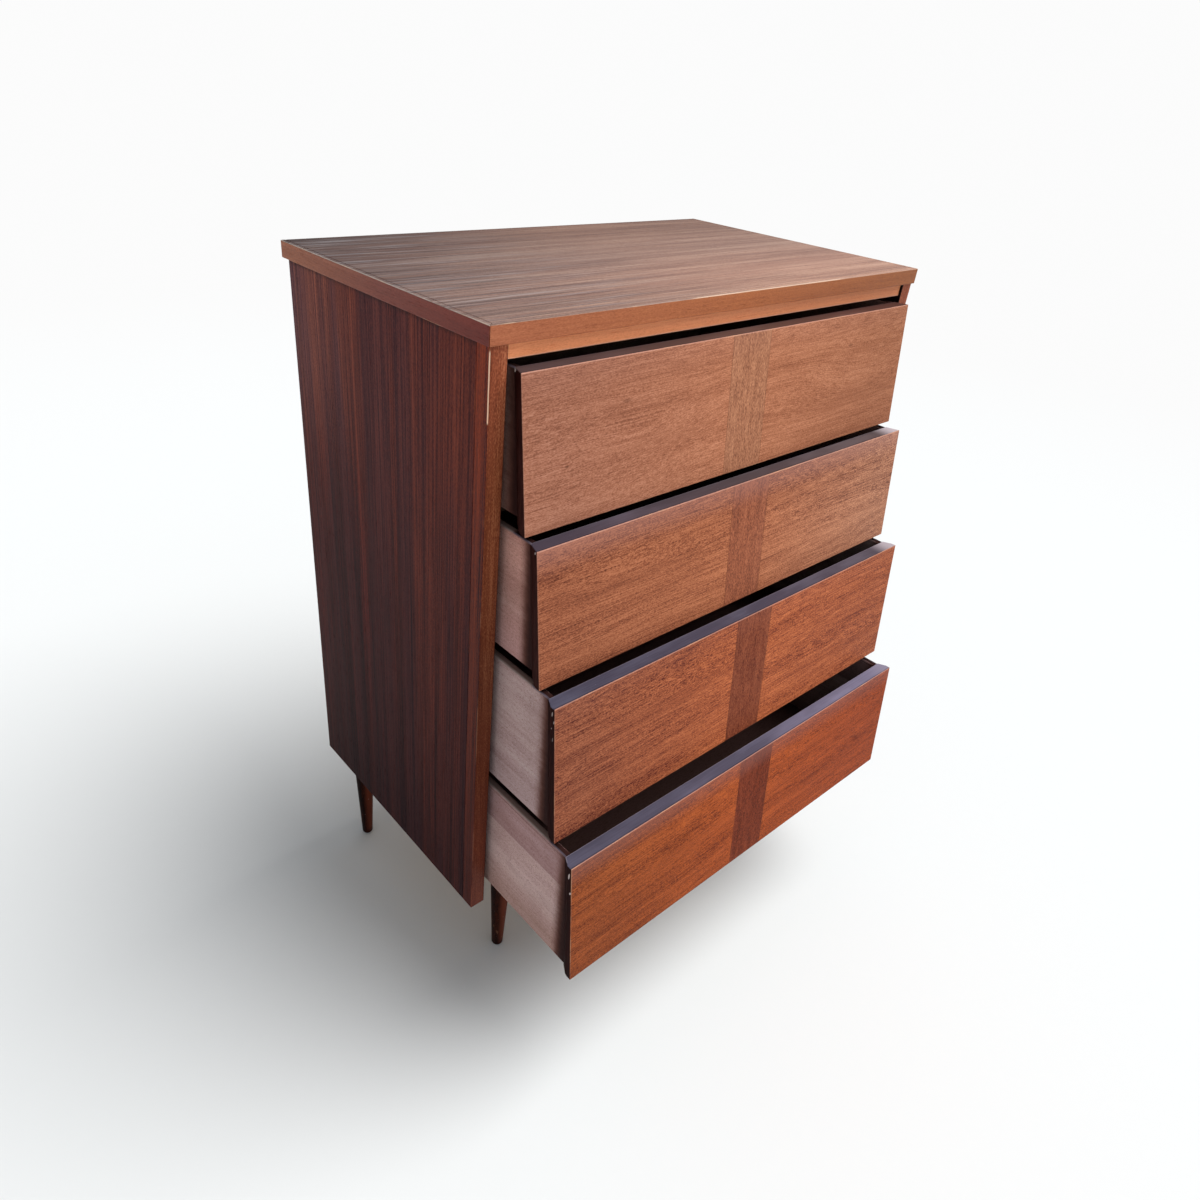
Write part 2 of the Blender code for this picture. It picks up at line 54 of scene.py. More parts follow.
HEAD_RINGS = 8
FRONT_LEAN = 0.022
FRONT_THICKNESS = 0.0204
Colour = tuple[float, float, float, float]
Shade = bpy.types.NodeSocket | Colour
Place = tuple[float, float, float]
Span = tuple[float, float]
WHITE: Colour = (1.0, 1.0, 1.0, 1.0)
TOP_SKIN: Span = (0.0012, 0.0006)        # where a finish on an upper face ends, in metres below it
SKIN_SOFT = 0.6                          # how much of a veneer's depth shows its full colour


class Axis(Enum):
    """The direction that a piece's grain runs in."""

    X = 0
    Y = 1
    Z = 2


def screen(red: int, green: int, blue: int) -> Colour:
    """Turns a colour as a screen shows it into the linear colour that a shader takes.

    Args:
        red: Red, from 0 to 255.
        green: Green, from 0 to 255.
        blue: Blue, from 0 to 255.

    Returns:
        The linear colour with an alpha of 1.
    """
    shares = [part / 255 for part in (red, green, blue)]
    linear = [s / 12.92 if s <= 0.04045 else ((s + 0.055) / 1.055) ** 2.4 for s in shares]
    return (linear[0], linear[1], linear[2], 1.0)


def share(red: float, green: float, blue: float) -> Colour:
    """Writes a linear colour or tint from its three shares."""
    return (red, green, blue, 1.0)


@dataclass(frozen=True)
class Grain:
    """The size of the marks in noise: their length and width in metres, and how many finer layers it has."""

    long: float
    wide: float
    detail: float = 2.0


@dataclass(frozen=True)
class Marks(Grain):
    """Marks that show where noise is high: where they start, where they are full, and how strong they are."""

    start: float = 0.5
    full: float = 0.7
    share: float = 1.0


class Value:
    """A number that varies over a surface, with Python's arithmetic on it."""

    def __init__(self, graph: "Graph", socket: bpy.types.NodeSocket) -> None:
        """Keeps the socket that carries the number.

        Args:
            graph: The graph that the socket belongs to.
            socket: The socket that gives the number.
        """
        self.graph = graph
        self.socket = socket

    def __add__(self, other: "Value | float") -> "Value":
        """Adds."""
        return self.graph.maths("ADD", self, other)

    __radd__ = __add__

    def __sub__(self, other: "Value | float") -> "Value":
        """Subtracts."""
        return self.graph.maths("SUBTRACT", self, other)

    def __rsub__(self, other: "Value | float") -> "Value":
        """Subtracts this value from a number."""
        return self.graph.maths("SUBTRACT", other, self)

    def __mul__(self, other: "Value | float") -> "Value":
        """Multiplies."""
        return self.graph.maths("MULTIPLY", self, other)

    __rmul__ = __mul__

    def __truediv__(self, other: "Value | float") -> "Value":
        """Divides."""
        return self.graph.maths("DIVIDE", self, other)

    def __pow__(self, other: "Value | float") -> "Value":
        """Raises to a power."""
        return self.graph.maths("POWER", self, other)

    def least(self, other: "Value | float") -> "Value":
        """Gives the smaller of two values."""
        return self.graph.maths("MINIMUM", self, other)

    def most(self, other: "Value | float") -> "Value":
        """Gives the larger of two values."""
        return self.graph.maths("MAXIMUM", self, other)

    def size(self) -> "Value":
        """Gives the value without its sign."""
        return self.graph.maths("ABSOLUTE", self)

    def distance(self, other: "Value") -> "Value":
        """Gives how far a point lies from zero, with this value and another as its sides."""
        return (self * self + other * other) ** 0.5

    def ramp(self, start: float, end: float) -> "Value":
        """Rises smoothly from 0 at start to 1 at end, and may run downwards.

        Args:
            start: The value that gives 0.
            end: The value that gives 1.

        Returns:
            The eased value, from 0 to 1.
        """
        node = self.graph.node(
            "ShaderNodeMapRange",
            {"interpolation_type": "SMOOTHSTEP"},
            {"Value": self, "From Min": start, "From Max": end},
        )
        return Value(self.graph, node.outputs["Result"])


class Tree:
    """The nodes of one material or of the world."""

    def __init__(self, tree: bpy.types.NodeTree) -> None:
        """Empties the tree.

        Args:
            tree: The tree to build in.
        """
        self.tree = tree
        self.tree.nodes.clear()

    def node(self, kind: str, settings: dict | None = None, inputs: dict | None = None) -> bpy.types.Node:
        """Adds one node.

        Args:
            kind: The node's type.
            settings: The node's own settings, set before its sockets. The key "stops" fills a colour ramp.
            inputs: What each input socket takes, by name or number: a value, a socket or a Value.

        Returns:
            The new node.
        """
        made = self.tree.nodes.new(kind)
        for name, value in (settings or {}).items():
            if name == "stops":
                self.fill_ramp(made.color_ramp, value)
            else:
                setattr(made, name, value)
        for key, value in (inputs or {}).items():
            given = value.socket if isinstance(value, Value) else value
            if isinstance(given, bpy.types.NodeSocket):
                self.tree.links.new(given, made.inputs[key])
            else:
                made.inputs[key].default_value = given
        return made

    @staticmethod
    def fill_ramp(ramp: bpy.types.ColorRamp, stops: list[tuple[float, Colour]]) -> None:
        """Sets a colour ramp's stops.

        Args:
            ramp: The ramp, with its two first stops.
            stops: The place and colour of each stop, in order.
        """
        while len(ramp.elements) < len(stops):
            ramp.elements.new(1.0)
        for element, (place, colour) in zip(ramp.elements, stops):
            element.position = place
            element.color = colour

class Graph(Tree):
    """One material's shader, built node by node."""

    def __init__(self, name: str) -> None:
        """Starts an empty material.

        Args:
            name: The material's name.
        """
        self.material = bpy.data.materials.new(name)
        self.material.use_nodes = True
        super().__init__(self.material.node_tree)
        self.place = self.node("ShaderNodeTexCoord").outputs["Object"]
        parts = self.node("ShaderNodeSeparateXYZ", inputs={"Vector": self.place})
        self.x, self.y, self.z = (Value(self, socket) for socket in parts.outputs)

    def maths(self, operation: str, *terms: "Value | float") -> Value:
        """Works out one operation on numbers.

        Args:
            operation: The Math node's operation.
            *terms: The numbers or values that it takes, in order.

        Returns:
            The result.
        """
        node = self.node("ShaderNodeMath", {"operation": operation}, dict(enumerate(terms)))
        return Value(self, node.outputs[0])

    def vector(self, operation: str, *terms: "bpy.types.NodeSocket | Place") -> bpy.types.NodeSocket:
        """Works out one operation on vectors and gives the resulting socket.

        Args:
            operation: The Vector Math node's operation.
            *terms: The vectors that it takes, in order.

        Returns:
            The socket with the result.
        """
        node = self.node("ShaderNodeVectorMath", {"operation": operation}, dict(enumerate(terms)))
        return node.outputs[0]

    def grain(self, size: Grain, axis: Axis, place: bpy.types.NodeSocket | None = None) -> Value:
        """Makes noise that is drawn out along the grain.

        Args:
            size: The size of its marks.
            axis: The direction of the grain.
            place: The coordinates to read it at, or none for the object's own.

        Returns:
            Noise from 0 to 1, with a middle of 0.5.
        """
        scale = [1 / size.wide] * 3
        scale[axis.value] = 1 / size.long
        spread = self.vector("MULTIPLY", self.place if place is None else place, tuple(scale))
        return self.cloud(spread, 1.0, size.detail)

    def swing(self, size: Grain, axis: Axis, place: bpy.types.NodeSocket | None = None) -> Value:
        """Makes noise that is drawn out along the grain, on both sides of 0.

        Args:
            size: The size of its marks.
            axis: The direction of the grain.
            place: The coordinates to read it at, or none for the object's own.

        Returns:
            Noise from -0.5 to 0.5.
        """
        return self.grain(size, axis, place) - 0.5

    def marks(self, size: Marks, axis: Axis) -> Value:
        """Makes marks that are drawn out along the grain.

        Args:
            size: Their size and strength.
            axis: The direction of the grain.

        Returns:
            How strongly the marks show, from 0 to their share.
        """
        return self.grain(size, axis).ramp(size.start, size.full) * size.share

    def cloud(self, place: bpy.types.NodeSocket, scale: float, detail: float) -> Value:
        """Makes noise without a direction.

        Args:
            place: The coordinates to read it at.
            scale: How many marks there are to one unit of the coordinates.
            detail: How many finer layers it has.

        Returns:
            Noise from 0 to 1, with a middle of 0.5.
        """
        node = self.node("ShaderNodeTexNoise", inputs={"Vector": place, "Scale": scale, "Detail": detail})
        return Value(self, node.outputs["Fac"])

    def sweep(self, along: Value, stops: dict[float, Colour]) -> bpy.types.NodeSocket:
        """Changes a colour evenly from place to place.

        Args:
            along: Where each point lies along the sweep.
            stops: The colour at each place of the sweep, in order.

        Returns:
            The socket with the colour.
        """
        places = list(stops)
        reach = places[-1] - places[0]
        shares = [((place - places[0]) / reach, colour) for place, colour in stops.items()]
        node = self.node("ShaderNodeValToRGB", {"stops": shares}, {"Fac": (along - places[0]) / reach})
        return node.outputs["Color"]

    def mix(
        self, factor: "Value | float", first: Shade, second: Shade, blend: str = "MIX"
    ) -> bpy.types.NodeSocket:
        """Mixes two colours.

        Args:
            factor: How much of the second shows.
            first: The first colour or its socket.
            second: The second colour or its socket.
            blend: How they are mixed.

        Returns:
            The socket with the mixed colour.
        """
        settings = {"data_type": "RGBA", "blend_type": blend, "clamp_factor": True}
        node = self.node("ShaderNodeMix", settings, {0: factor, 6: first, 7: second})
        return node.outputs[2]

    def edge_distance(self, low: Vector, high: Vector) -> Value:
        """Measures how far a point of a box's surface lies from the box's nearest edge.

        Args:
            low: The box's lowest corner.
            high: The box's highest corner.

        Returns:
            The distance in metres.
        """
        parts = enumerate((self.x, self.y, self.z))
        near = [(part - low[i]).least(high[i] - part).size() for i, part in parts]
        smaller = near[0].least(near[1])
        larger = near[0].most(near[1])
        return smaller.most(larger.least(near[2]))


@dataclass
class Skin:
    """What a surface looks like: its colour, its roughness and its relief in millimetres."""

    colour: Shade
    roughness: Value | float
    relief: Value | float

    def tint(self, graph: Graph, tint: Shade) -> "Skin":
        """Multiplies the colour by a tint, or by the socket of one, and gives the skin back."""
        self.colour = graph.mix(1.0, self.colour, tint, "MULTIPLY")
        return self

    def stain(self, graph: Graph, stain: Shade, mask: Value) -> "Skin":
        """Covers the colour with another where the mask says so, and gives the skin back."""
        self.colour = graph.mix(mask, self.colour, stain)
        return self

    def under(self, graph: Graph, other: "Skin", mask: Value) -> "Skin":
        """Lays another skin over this one.

        Args:
            graph: The graph of both skins.
            other: The skin on top.
            mask: Where the other shows, from 0 to 1.

        Returns:
            The two skins as one.
        """
        keep = 1 - mask
        return Skin(
            graph.mix(mask, self.colour, other.colour),
            keep * self.roughness + mask * other.roughness,
            keep * self.relief + mask * other.relief,
        )


@dataclass(frozen=True)
class Lacquer:
    """The clear coat that closes a finish."""

    coat: float = 0.0
    coat_roughness: float = 0.3
    specular: float = 0.08

    def close(self, graph: Graph, skin: Skin) -> bpy.types.Material:
        """Joins a skin to the shader that shows it.

        Args:
            graph: The skin's graph.
            skin: What the surface looks like.

        Returns:
            The finished material.
        """
        bump = graph.node("ShaderNodeBump", inputs={"Height": skin.relief, "Distance": MILLIMETRE})
        shader = graph.node(
            "ShaderNodeBsdfPrincipled",
            inputs={
                "Base Color": skin.colour,
                "Roughness": skin.roughness,
                "Normal": bump.outputs["Normal"],
                "Specular IOR Level": self.specular,
                "Coat Weight": self.coat,
                "Coat Roughness": self.coat_roughness,
            },
        )
        graph.node("ShaderNodeOutputMaterial", inputs={"Surface": shader.outputs["BSDF"]})
        return graph.material


@dataclass(frozen=True)
class Wood:
    """A wood surface, with streaks, growth lines, fibres and open pores."""

    dark: Colour
    middle: Colour
    light: Colour
    axis: Axis
    streak_wide: float = 0.024
    streak_share: float = 0.6
    line_wide: float = 0.0052
    line_share: float = 0.34
    fine_share: float = 1.3
    fibre_share: float = 1.45
    pore_share: float = 0.24
    wander: float = 0.022
    roughness: float = 0.42
    shift: Place = (0.0, 0.0, 0.0)
    streak_long: float = 0.9
    line_long: float = 0.5
    line_detail: float = 3.0
    fine_long: float = 0.14
    fine_wide_share: float = 0.2
    drift: Grain = Grain(0.55, 0.13, 1.0)
    fibre: Grain = Grain(0.003, 0.001, 1.0)
    pore: Grain = Grain(0.018, 0.0009, 1.0)
    pore_edge: Span = (0.61, 0.7)
    tones: tuple[float, float, float] = (0.12, 0.5, 0.88)
    pore_dull: float = 0.2
    streak_gloss: float = 0.12
    fibre_dull: float = 0.06
    fibre_high: float = 0.03
    fine_high: float = 0.04
    pore_deep: float = 0.06

    def dyed(self, dark: Colour, middle: Colour, light: Colour) -> "Wood":
        """Gives the same wood in other colours.

        Args:
            dark: The colour of its dark lines.
            middle: Its main colour.
            light: The colour of its light lines.

        Returns:
            The recoloured wood.
        """
        return replace(self, dark=dark, middle=middle, light=light)

    def skin(self, graph: Graph, bend: Value | None = None) -> Skin:
        """Builds the surface.

        Args:
            graph: The graph to build it in.
            bend: A further sideways shift of the grain, in metres, as round a knot.

        Returns:
            The wood's skin.
        """
        moved = graph.vector("ADD", graph.place, self.shift)
        drift = graph.swing(self.drift, self.axis, moved) * self.wander
        if bend is not None:
            drift = drift + bend
        across = [drift] * 3
        across[self.axis.value] = 0.0
        push = graph.node("ShaderNodeCombineXYZ", inputs=dict(enumerate(across)))
        place = graph.vector("ADD", moved, push.outputs[0])
        streak = graph.swing(Grain(self.streak_long, self.streak_wide), self.axis, place)
        line = graph.swing(Grain(self.line_long, self.line_wide, self.line_detail), self.axis, place)
        fine = graph.swing(Grain(self.fine_long, self.line_wide * self.fine_wide_share), self.axis, place)
        fibre = graph.swing(self.fibre, self.axis, place)
        pore = graph.grain(self.pore, self.axis, place).ramp(*self.pore_edge)
        tone = 0.5 + streak * self.streak_share + line * self.line_share
        tone = tone + fine * self.fine_share + fibre * self.fibre_share
        stops = list(zip(self.tones, (self.dark, self.middle, self.light)))
        ramp = graph.node("ShaderNodeValToRGB", {"stops": stops}, {"Fac": tone})
        colour = graph.mix(pore * self.pore_share, ramp.outputs["Color"], self.dark, "MULTIPLY")
        roughness = self.roughness + pore * self.pore_dull - streak * self.streak_gloss
        roughness = roughness + fibre * self.fibre_dull
        relief = fibre * self.fibre_high + fine * self.fine_high - pore * self.pore_deep
        return Skin(colour, roughness, relief)


@dataclass(frozen=True)
class Worn:
    """Rubbed edges, where the stain has gone and the bare wood shows."""

    colour: Colour = screen(214, 165, 128)
    width: float = 0.0011
    patch: float = 0.05
    start: float = 0.5
    strength: float = 0.75
    patch_soft: float = 0.12
    patch_detail: float = 4.0
    ragged_scale: float = 600.0
    least_reach: float = 0.4
    ragged_reach: float = 1.2
    near: Span = (1.0, 0.45)
    roughness: float = 0.6

    def skin(self, graph: Graph, base: Skin, distance: Value) -> Skin:
        """Rubs a skin through along its edges.

        Args:
            graph: The skin's graph.
            base: The skin that is worn.
            distance: How far each point lies from the edge, in metres.

        Returns:
            The worn skin.
        """
        patches = graph.cloud(graph.place, 1 / self.patch, self.patch_detail)
        ragged = graph.cloud(graph.place, self.ragged_scale, 1.0)
        reach = self.width * (self.least_reach + ragged * self.ragged_reach)
        near = (distance / reach).ramp(*self.near)
        mask = near * patches.ramp(self.start, self.start + self.patch_soft) * self.strength
        return base.under(graph, Skin(self.colour, self.roughness, 0.0), mask)


def rubbed(name: str, wood: Wood, worn: Worn) -> tuple[Graph, Skin]:
    """Starts a piece's finish with a wood that is rubbed along the piece's edges.

    Args:
        name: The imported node.
        wood: Its wood.
        worn: How its edges are rubbed.

    Returns:
        The finish's graph and its skin.
    """
    graph = Graph(name + "_finish")
    edges = graph.edge_distance(*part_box(name))
    return graph, worn.skin(graph, wood.skin(graph), edges)


@dataclass(frozen=True)
class Paint:
    """Dark satin paint, brushed along the piece, with clouds and specks of a paler tone."""

    colour: Colour = screen(52, 46, 54)
    scuffed: Colour = screen(90, 84, 98)
    axis: Axis = Axis.X
    roughness: float = 0.4
    brush: Grain = Grain(0.06, 0.0016)
    cloud: Grain = Grain(0.11, 0.04, 3.0)
    speck: Marks = Marks(0.003, 0.002, 1.0, start=0.74, full=0.8)
    cloud_shows: Span = (0.4, 0.75)
    cloud_share: float = 0.4
    brush_share: float = 0.5
    speck_share: float = 0.5
    cloud_dull: float = 0.12
    brush_dull: float = 0.1
    relief: float = 0.05

    def skin(self, graph: Graph) -> Skin:
        """Builds the paint.

        Args:
            graph: The graph to build it in.

        Returns:
            The paint's skin.
        """
        brushed = graph.swing(self.brush, self.axis)
        cloud = graph.grain(self.cloud, self.axis)
        tone = cloud.ramp(*self.cloud_shows) * self.cloud_share + brushed * self.brush_share
        speck = graph.marks(self.speck, self.axis)
        colour = graph.mix(tone + speck * self.speck_share, self.colour, self.scuffed)
        roughness = self.roughness + cloud * self.cloud_dull + brushed * self.brush_dull
        return Skin(colour, roughness, (brushed + speck) * self.relief)


@dataclass(frozen=True)
class Board:
    """Pressed fibre board, as the back and the drawer bottoms are made of."""

    base: Colour = screen(118, 84, 60)
    fleck: Colour = screen(84, 56, 40)
    roughness: float = 0.66
    fibre: Grain = Grain(0.009, 0.0022, 3.0)
    cloud: Grain = Grain(0.3, 0.22, 3.0)
    fibre_shows: Span = (0.45, 0.8)
    fibre_share: float = 0.7
    cloud_share: float = 0.35
    fibre_dull: float = 0.15
    relief: float = 0.05

    def material(self, name: str) -> bpy.types.Material:
        """Builds the board: one smooth face with short fibres pressed into it.

        Args:
            name: The material's name.

        Returns:
            The finished material.
        """
        graph = Graph(name)
        flecks = [graph.grain(self.fibre, axis) for axis in (Axis.X, Axis.Z)]
        weave = flecks[0].most(flecks[1]).ramp(*self.fibre_shows)
        cloud = graph.grain(self.cloud, Axis.X)
        colour = graph.mix(weave * self.fibre_share + cloud * self.cloud_share, self.base, self.fleck)
        skin = Skin(colour, self.roughness + weave * self.fibre_dull, weave * self.relief)
        return Lacquer().close(graph, skin)


@dataclass(frozen=True)
class Steel:
    """Dull plated steel, for nail heads."""

    bright: Colour = screen(150, 145, 138)
    tarnish: Colour = screen(84, 66, 52)
    cloud: Grain = Grain(0.004, 0.003, 3.0)
    tarnish_shows: Span = (0.4, 0.7)
    dull_shows: Span = (0.5, 0.8)
    dull_share: float = 0.5
    roughness: float = 0.35
    cloud_dull: float = 0.3

    def material(self, name: str) -> bpy.types.Material:
        """Builds the metal.

        Args:
            name: The material's name.

        Returns:
            The finished material.
        """
        graph = Graph(name)
        cloud = graph.grain(self.cloud, Axis.Z)
        shader = graph.node(
            "ShaderNodeBsdfPrincipled",
            inputs={
                "Base Color": graph.mix(cloud.ramp(*self.tarnish_shows), self.bright, self.tarnish),
                "Metallic": 1.0 - cloud.ramp(*self.dull_shows) * self.dull_share,
                "Roughness": self.roughness + cloud * self.cloud_dull,
            },
        )
        graph.node("ShaderNodeOutputMaterial", inputs={"Surface": shader.outputs["BSDF"]})
        return graph.material


WALNUT_TOP = Wood(
    dark=screen(111, 74, 65), middle=screen(176, 128, 108), light=screen(213, 169, 145),
    axis=Axis.X, streak_wide=0.028, streak_share=0.65, line_wide=0.0055, line_share=0.55, fine_share=1.1,
    fibre_share=0.6, pore_share=0.25, roughness=0.42, wander=0.006,
)
WALNUT_SIDE = Wood(
    dark=screen(55, 24, 29), middle=screen(94, 42, 39), light=screen(131, 62, 49), axis=Axis.Z,
    streak_wide=0.02, streak_share=0.8, line_wide=0.0034, line_share=1.1, fine_share=1.5, fibre_share=0.8,
    wander=0.004, roughness=0.5,
)
WALNUT_EDGE = Wood(
    dark=screen(122, 62, 36), middle=screen(160, 90, 58), light=screen(186, 114, 76), axis=Axis.X,
    streak_wide=0.02, streak_share=0.5, line_share=0.3, fine_share=0.4, fibre_share=0.6, roughness=0.44,
)
PALE_BOX = Wood(
    dark=screen(151, 115, 109), middle=screen(195, 162, 157), light=screen(217, 192, 188), axis=Axis.Y,
    streak_wide=0.03, streak_share=0.5, line_wide=0.004, line_share=0.3, fine_share=0.3, fibre_share=0.6,
    pore_share=0.2, roughness=0.66,
)
PALE_FRAME = PALE_BOX.dyed(screen(150, 118, 84), screen(190, 156, 116), screen(212, 182, 144))
LEG_STAIN = Wood(
    dark=screen(12, 4, 3), middle=screen(32, 12, 8), light=screen(66, 28, 17), axis=Axis.Z,
    streak_wide=0.008, streak_share=1.2, line_wide=0.003, roughness=0.36,
)


def dress(name: str, material: bpy.types.Material) -> None:
    """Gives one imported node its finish.

    Args:
        name: The node's name.
        material: The finish.
    """
    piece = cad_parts[name]
    if not piece.material_slots:
        piece.data.materials.append(material)
    for slot in piece.material_slots:
        slot.material = material
    LOG.info("finished %s", name)


def add_piece(
    name: str, build: bmesh.types.BMesh, body: str, material: bpy.types.Material
) -> bpy.types.Object:
    """Makes a new piece from a finished mesh and lets it ride on a body.

    Args:
        name: The piece's name.
        build: Its mesh, in place, which is freed here.
        body: The body that it moves with.
        material: Its finish.

    Returns:
        The new piece.
    """
    bmesh.ops.recalc_face_normals(build, faces=build.faces)
    mesh = bpy.data.meshes.new(name)
    build.to_mesh(mesh)
    build.free()
    mesh.shade_smooth()
    mesh.set_sharp_from_angle(angle=SMOOTH_ANGLE)
    mesh.materials.append(material)
    piece = bpy.data.objects.new(name, mesh)
    bpy.context.scene.collection.objects.link(piece)
    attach(piece, body)
    LOG.info("made %s with %d faces", name, len(mesh.polygons))
    return piece


def span(start: float, end: float, count: int) -> list[float]:
    """Spreads places evenly from one end to the other.

    Args:
        start: The first place.
        end: The last place.
        count: How many there are.

    Returns:
        The places, in order.
    """
    return [start + (end - start) * i / (count - 1) for i in range(count)]


@dataclass
class Knot:
    """A knot or a swirl in a drawer face, which the grain bends round."""

    x: float
    z: float
    half_long: float = 0.009
    half_wide: float = 0.0035
    dark: float = 0.4


@dataclass
class Chip:
    """A chip in a front's left end (-1) or right end (1), so far below the top and behind the face."""

    side: int
    below: float
    depth: float
    half_high: float = 0.003
    half_deep: float = 0.0012
    pale: float = 1.0


@dataclass
class DrawerFace:
    """The look of one slanted front: veneer on the face, dark paint on its top, dark stain elsewhere."""

    number: int
    veneer: Wood
    band: Wood
    paint: Paint
    # tints and strip_tints run from the left end to the right end: partly the front's own tone, partly
    # painted sheen and shade
    tints: dict[float, Colour]
    strip_tints: dict[float, Colour]
    end_tint: Colour
    knots: list[Knot] = field(default_factory=list)
    chips: list[Chip] = field(default_factory=list)
    corner_highlight_share: float = 0.0
    # strength of a painted sheen over the face's top few centimetres
    top_sheen_share: float = 0.0
    lean: float = FRONT_LEAN
    band_half: float = 0.0375
    joint_half: float = 0.0006
    joint_share: float = 0.4
    veneer_depth: float = 0.00045
    thickness: float = FRONT_THICKNESS
    end_lip: float = 0.0075
    end_slant: float = 0.0073
    grain_slope: float = -0.035
    top_sheen_high: float = 0.04
    rim: Span = (0.0018, 0.0007)
    top_rim_share: float = 0.4
    end_rim_share: float = 0.1
    seam_depth: float = 0.0014
    rub_wide: float = 0.0018
    line_soft: float = 0.0006
    seam_share: float = 0.45
    rub_share: float = 0.4
    highlight_from_end: Span = (0.055, 0.008)
    knot_shows: Span = (1.1, 0.2)
    bend_shows: Span = (5.0, 0.5)
    bend_turn: Span = (-1.5, 1.5)
    bend_share: float = 1.1
    chip_lean: float = 0.7
    chip_ragged: float = 0.8
    chip_shows: Span = (1.15, 0.8)
    chip_roughness: float = 0.6
    chip_relief: float = -0.2
    end_roughness: float = 0.45
    end_dull: float = 0.15
    end_relief: float = 0.05
    end_cloud_shows: Span = (0.35, 0.8)
    end_cloud_share: float = 0.3
    end_cloud: Grain = Grain(0.02, 0.004, 3.0)
    face_worn: Worn = Worn(start=0.52, strength=0.4)
    rim_pale: Colour = screen(216, 166, 148)
    top_sheen_colour: Colour = screen(176, 136, 132)
    rubbed_paint: Colour = screen(150, 140, 150)
    seam_dark: Colour = screen(46, 34, 38)
    corner_highlight: Colour = screen(226, 214, 222)
    joint_dark: Colour = screen(70, 38, 28)
    knot_dark: Colour = screen(72, 34, 24)
    end_stain: Colour = screen(42, 17, 14)
    end_stain_pale: Colour = screen(86, 48, 42)
    chip_colour: Colour = screen(196, 180, 176)

    @property
    def node(self) -> str:
        """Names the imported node."""
        return f"drawer_{self.number}_front"

    def knot_terms(self, graph: Graph) -> tuple[Value, Value]:
        """Works out where the knots are and how the grain bends round them.

        Args:
            graph: The face's graph.

        Returns:
            The knots' mask, and the sideways shift of the grain in metres.
        """
        mask = graph.x * 0.0
        bend = graph.x * 0.0
        for knot in self.knots:
            along = (graph.x - knot.x) / knot.half_long
            over = (graph.z - knot.z) / knot.half_wide
            reach = along.distance(over)
            mask = mask.most(reach.ramp(*self.knot_shows) * knot.dark)
            turned = reach.ramp(*self.bend_shows) * over.ramp(*self.bend_turn)
            bend = bend + turned * (knot.half_wide * self.bend_share)
        return mask, bend

    def face_skin(self, graph: Graph, ends: Value) -> Skin:
        """Builds the veneered face: long grain, a cross-grain band in the middle, painted sheen and shade,
        and rubbed edges.

        Args:
            graph: The face's graph.
            ends: How far each point lies from the nearer end, in metres.

        Returns:
            The face's skin.
        """
        low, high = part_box(self.node)
        knots, bend = self.knot_terms(graph)
        sheet = self.veneer.skin(graph, bend + graph.x * self.grain_slope)
        sheet.stain(graph, self.knot_dark, knots)
        middle = graph.x.size()
        in_band = middle.ramp(self.band_half + self.joint_half, self.band_half - self.joint_half)
        sheet = sheet.under(graph, self.band.skin(graph), in_band)
        joint = (middle - self.band_half).size().ramp(self.joint_half * 2, 0.0)
        sheet.stain(graph, self.joint_dark, joint * self.joint_share)
        # painted sheen and shade: the face lightens or darkens from end to end
        sheet.tint(graph, graph.sweep(graph.x, self.tints))
        below = high.z - graph.z
        # painted sheen: a pale grey haze over the top of the face
        sheet.stain(graph, self.top_sheen_colour, below.ramp(self.top_sheen_high, 0.0) * self.top_sheen_share)
        sheet.stain(graph, self.rim_pale, below.ramp(*self.rim) * self.top_rim_share)
        sheet.stain(graph, self.rim_pale, ends.ramp(*self.rim) * self.end_rim_share)
        edges = ends.least(below.size()).least((graph.z - low.z).size())
        return self.face_worn.skin(graph, sheet, edges)

    def end_skin(self, graph: Graph, behind: Value) -> Skin:
        """Builds the dark stain on the ends and the back, with its chips.

        Args:
            graph: The face's graph.
            behind: How far each point lies behind the slanted face, in metres.

        Returns:
            The stain's skin.
        """
        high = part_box(self.node)[1]
        cloud = graph.grain(self.end_cloud, Axis.Z)
        chipped = cloud * 0.0
        for chip in self.chips:
            up = (high.z - chip.below - graph.z) / chip.half_high
            back = (behind - chip.depth - up * (chip.half_deep * self.chip_lean)) / chip.half_deep
            here = (graph.x * chip.side).ramp(0.0, 0.1)
            reach = up.distance(back) + (cloud - 0.5) * self.chip_ragged
            chipped = chipped.most(reach.ramp(*self.chip_shows) * here * chip.pale)
        pale = cloud.ramp(*self.end_cloud_shows) * self.end_cloud_share
        colour = graph.mix(pale, self.end_stain, self.end_stain_pale)
        stained = Skin(colour, self.end_roughness + cloud * self.end_dull, cloud * self.end_relief)
        stained.tint(graph, self.end_tint)
        bare = Skin(self.chip_colour, self.chip_roughness, self.chip_relief)
        return stained.under(graph, bare, chipped)

    def strip_skin(self, graph: Graph, behind: Value) -> Skin:
        """Builds the painted strip on top, rubbed along its lines, with a painted highlight at its right end.

        Args:
            graph: The face's graph.
            behind: How far each point lies behind the slanted face, in metres.

        Returns:
            The strip's skin.
        """
        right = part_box(self.node)[1].x
        # painted sheen and shade: the strip lightens or darkens from end to end
        painted = self.paint.skin(graph).tint(graph, graph.sweep(graph.x, self.strip_tints))
        seam = (behind - self.seam_depth).size().ramp(self.seam_depth, self.line_soft)
        painted.stain(graph, self.seam_dark, seam * self.seam_share)
        back_line = (behind - self.thickness).size().ramp(self.rub_wide, self.line_soft)
        painted.stain(graph, self.rubbed_paint, back_line * self.rub_share)
        # painted highlight: the strip pales towards its right end
        start, full = self.highlight_from_end
        painted.stain(graph, self.corner_highlight, graph.x.ramp(right - start, right - full) * self.corner_highlight_share)
        worn = Worn(self.rubbed_paint, width=0.0016, patch=0.02, strength=0.7)
        return worn.skin(graph, painted, self.corner_line(graph, behind))

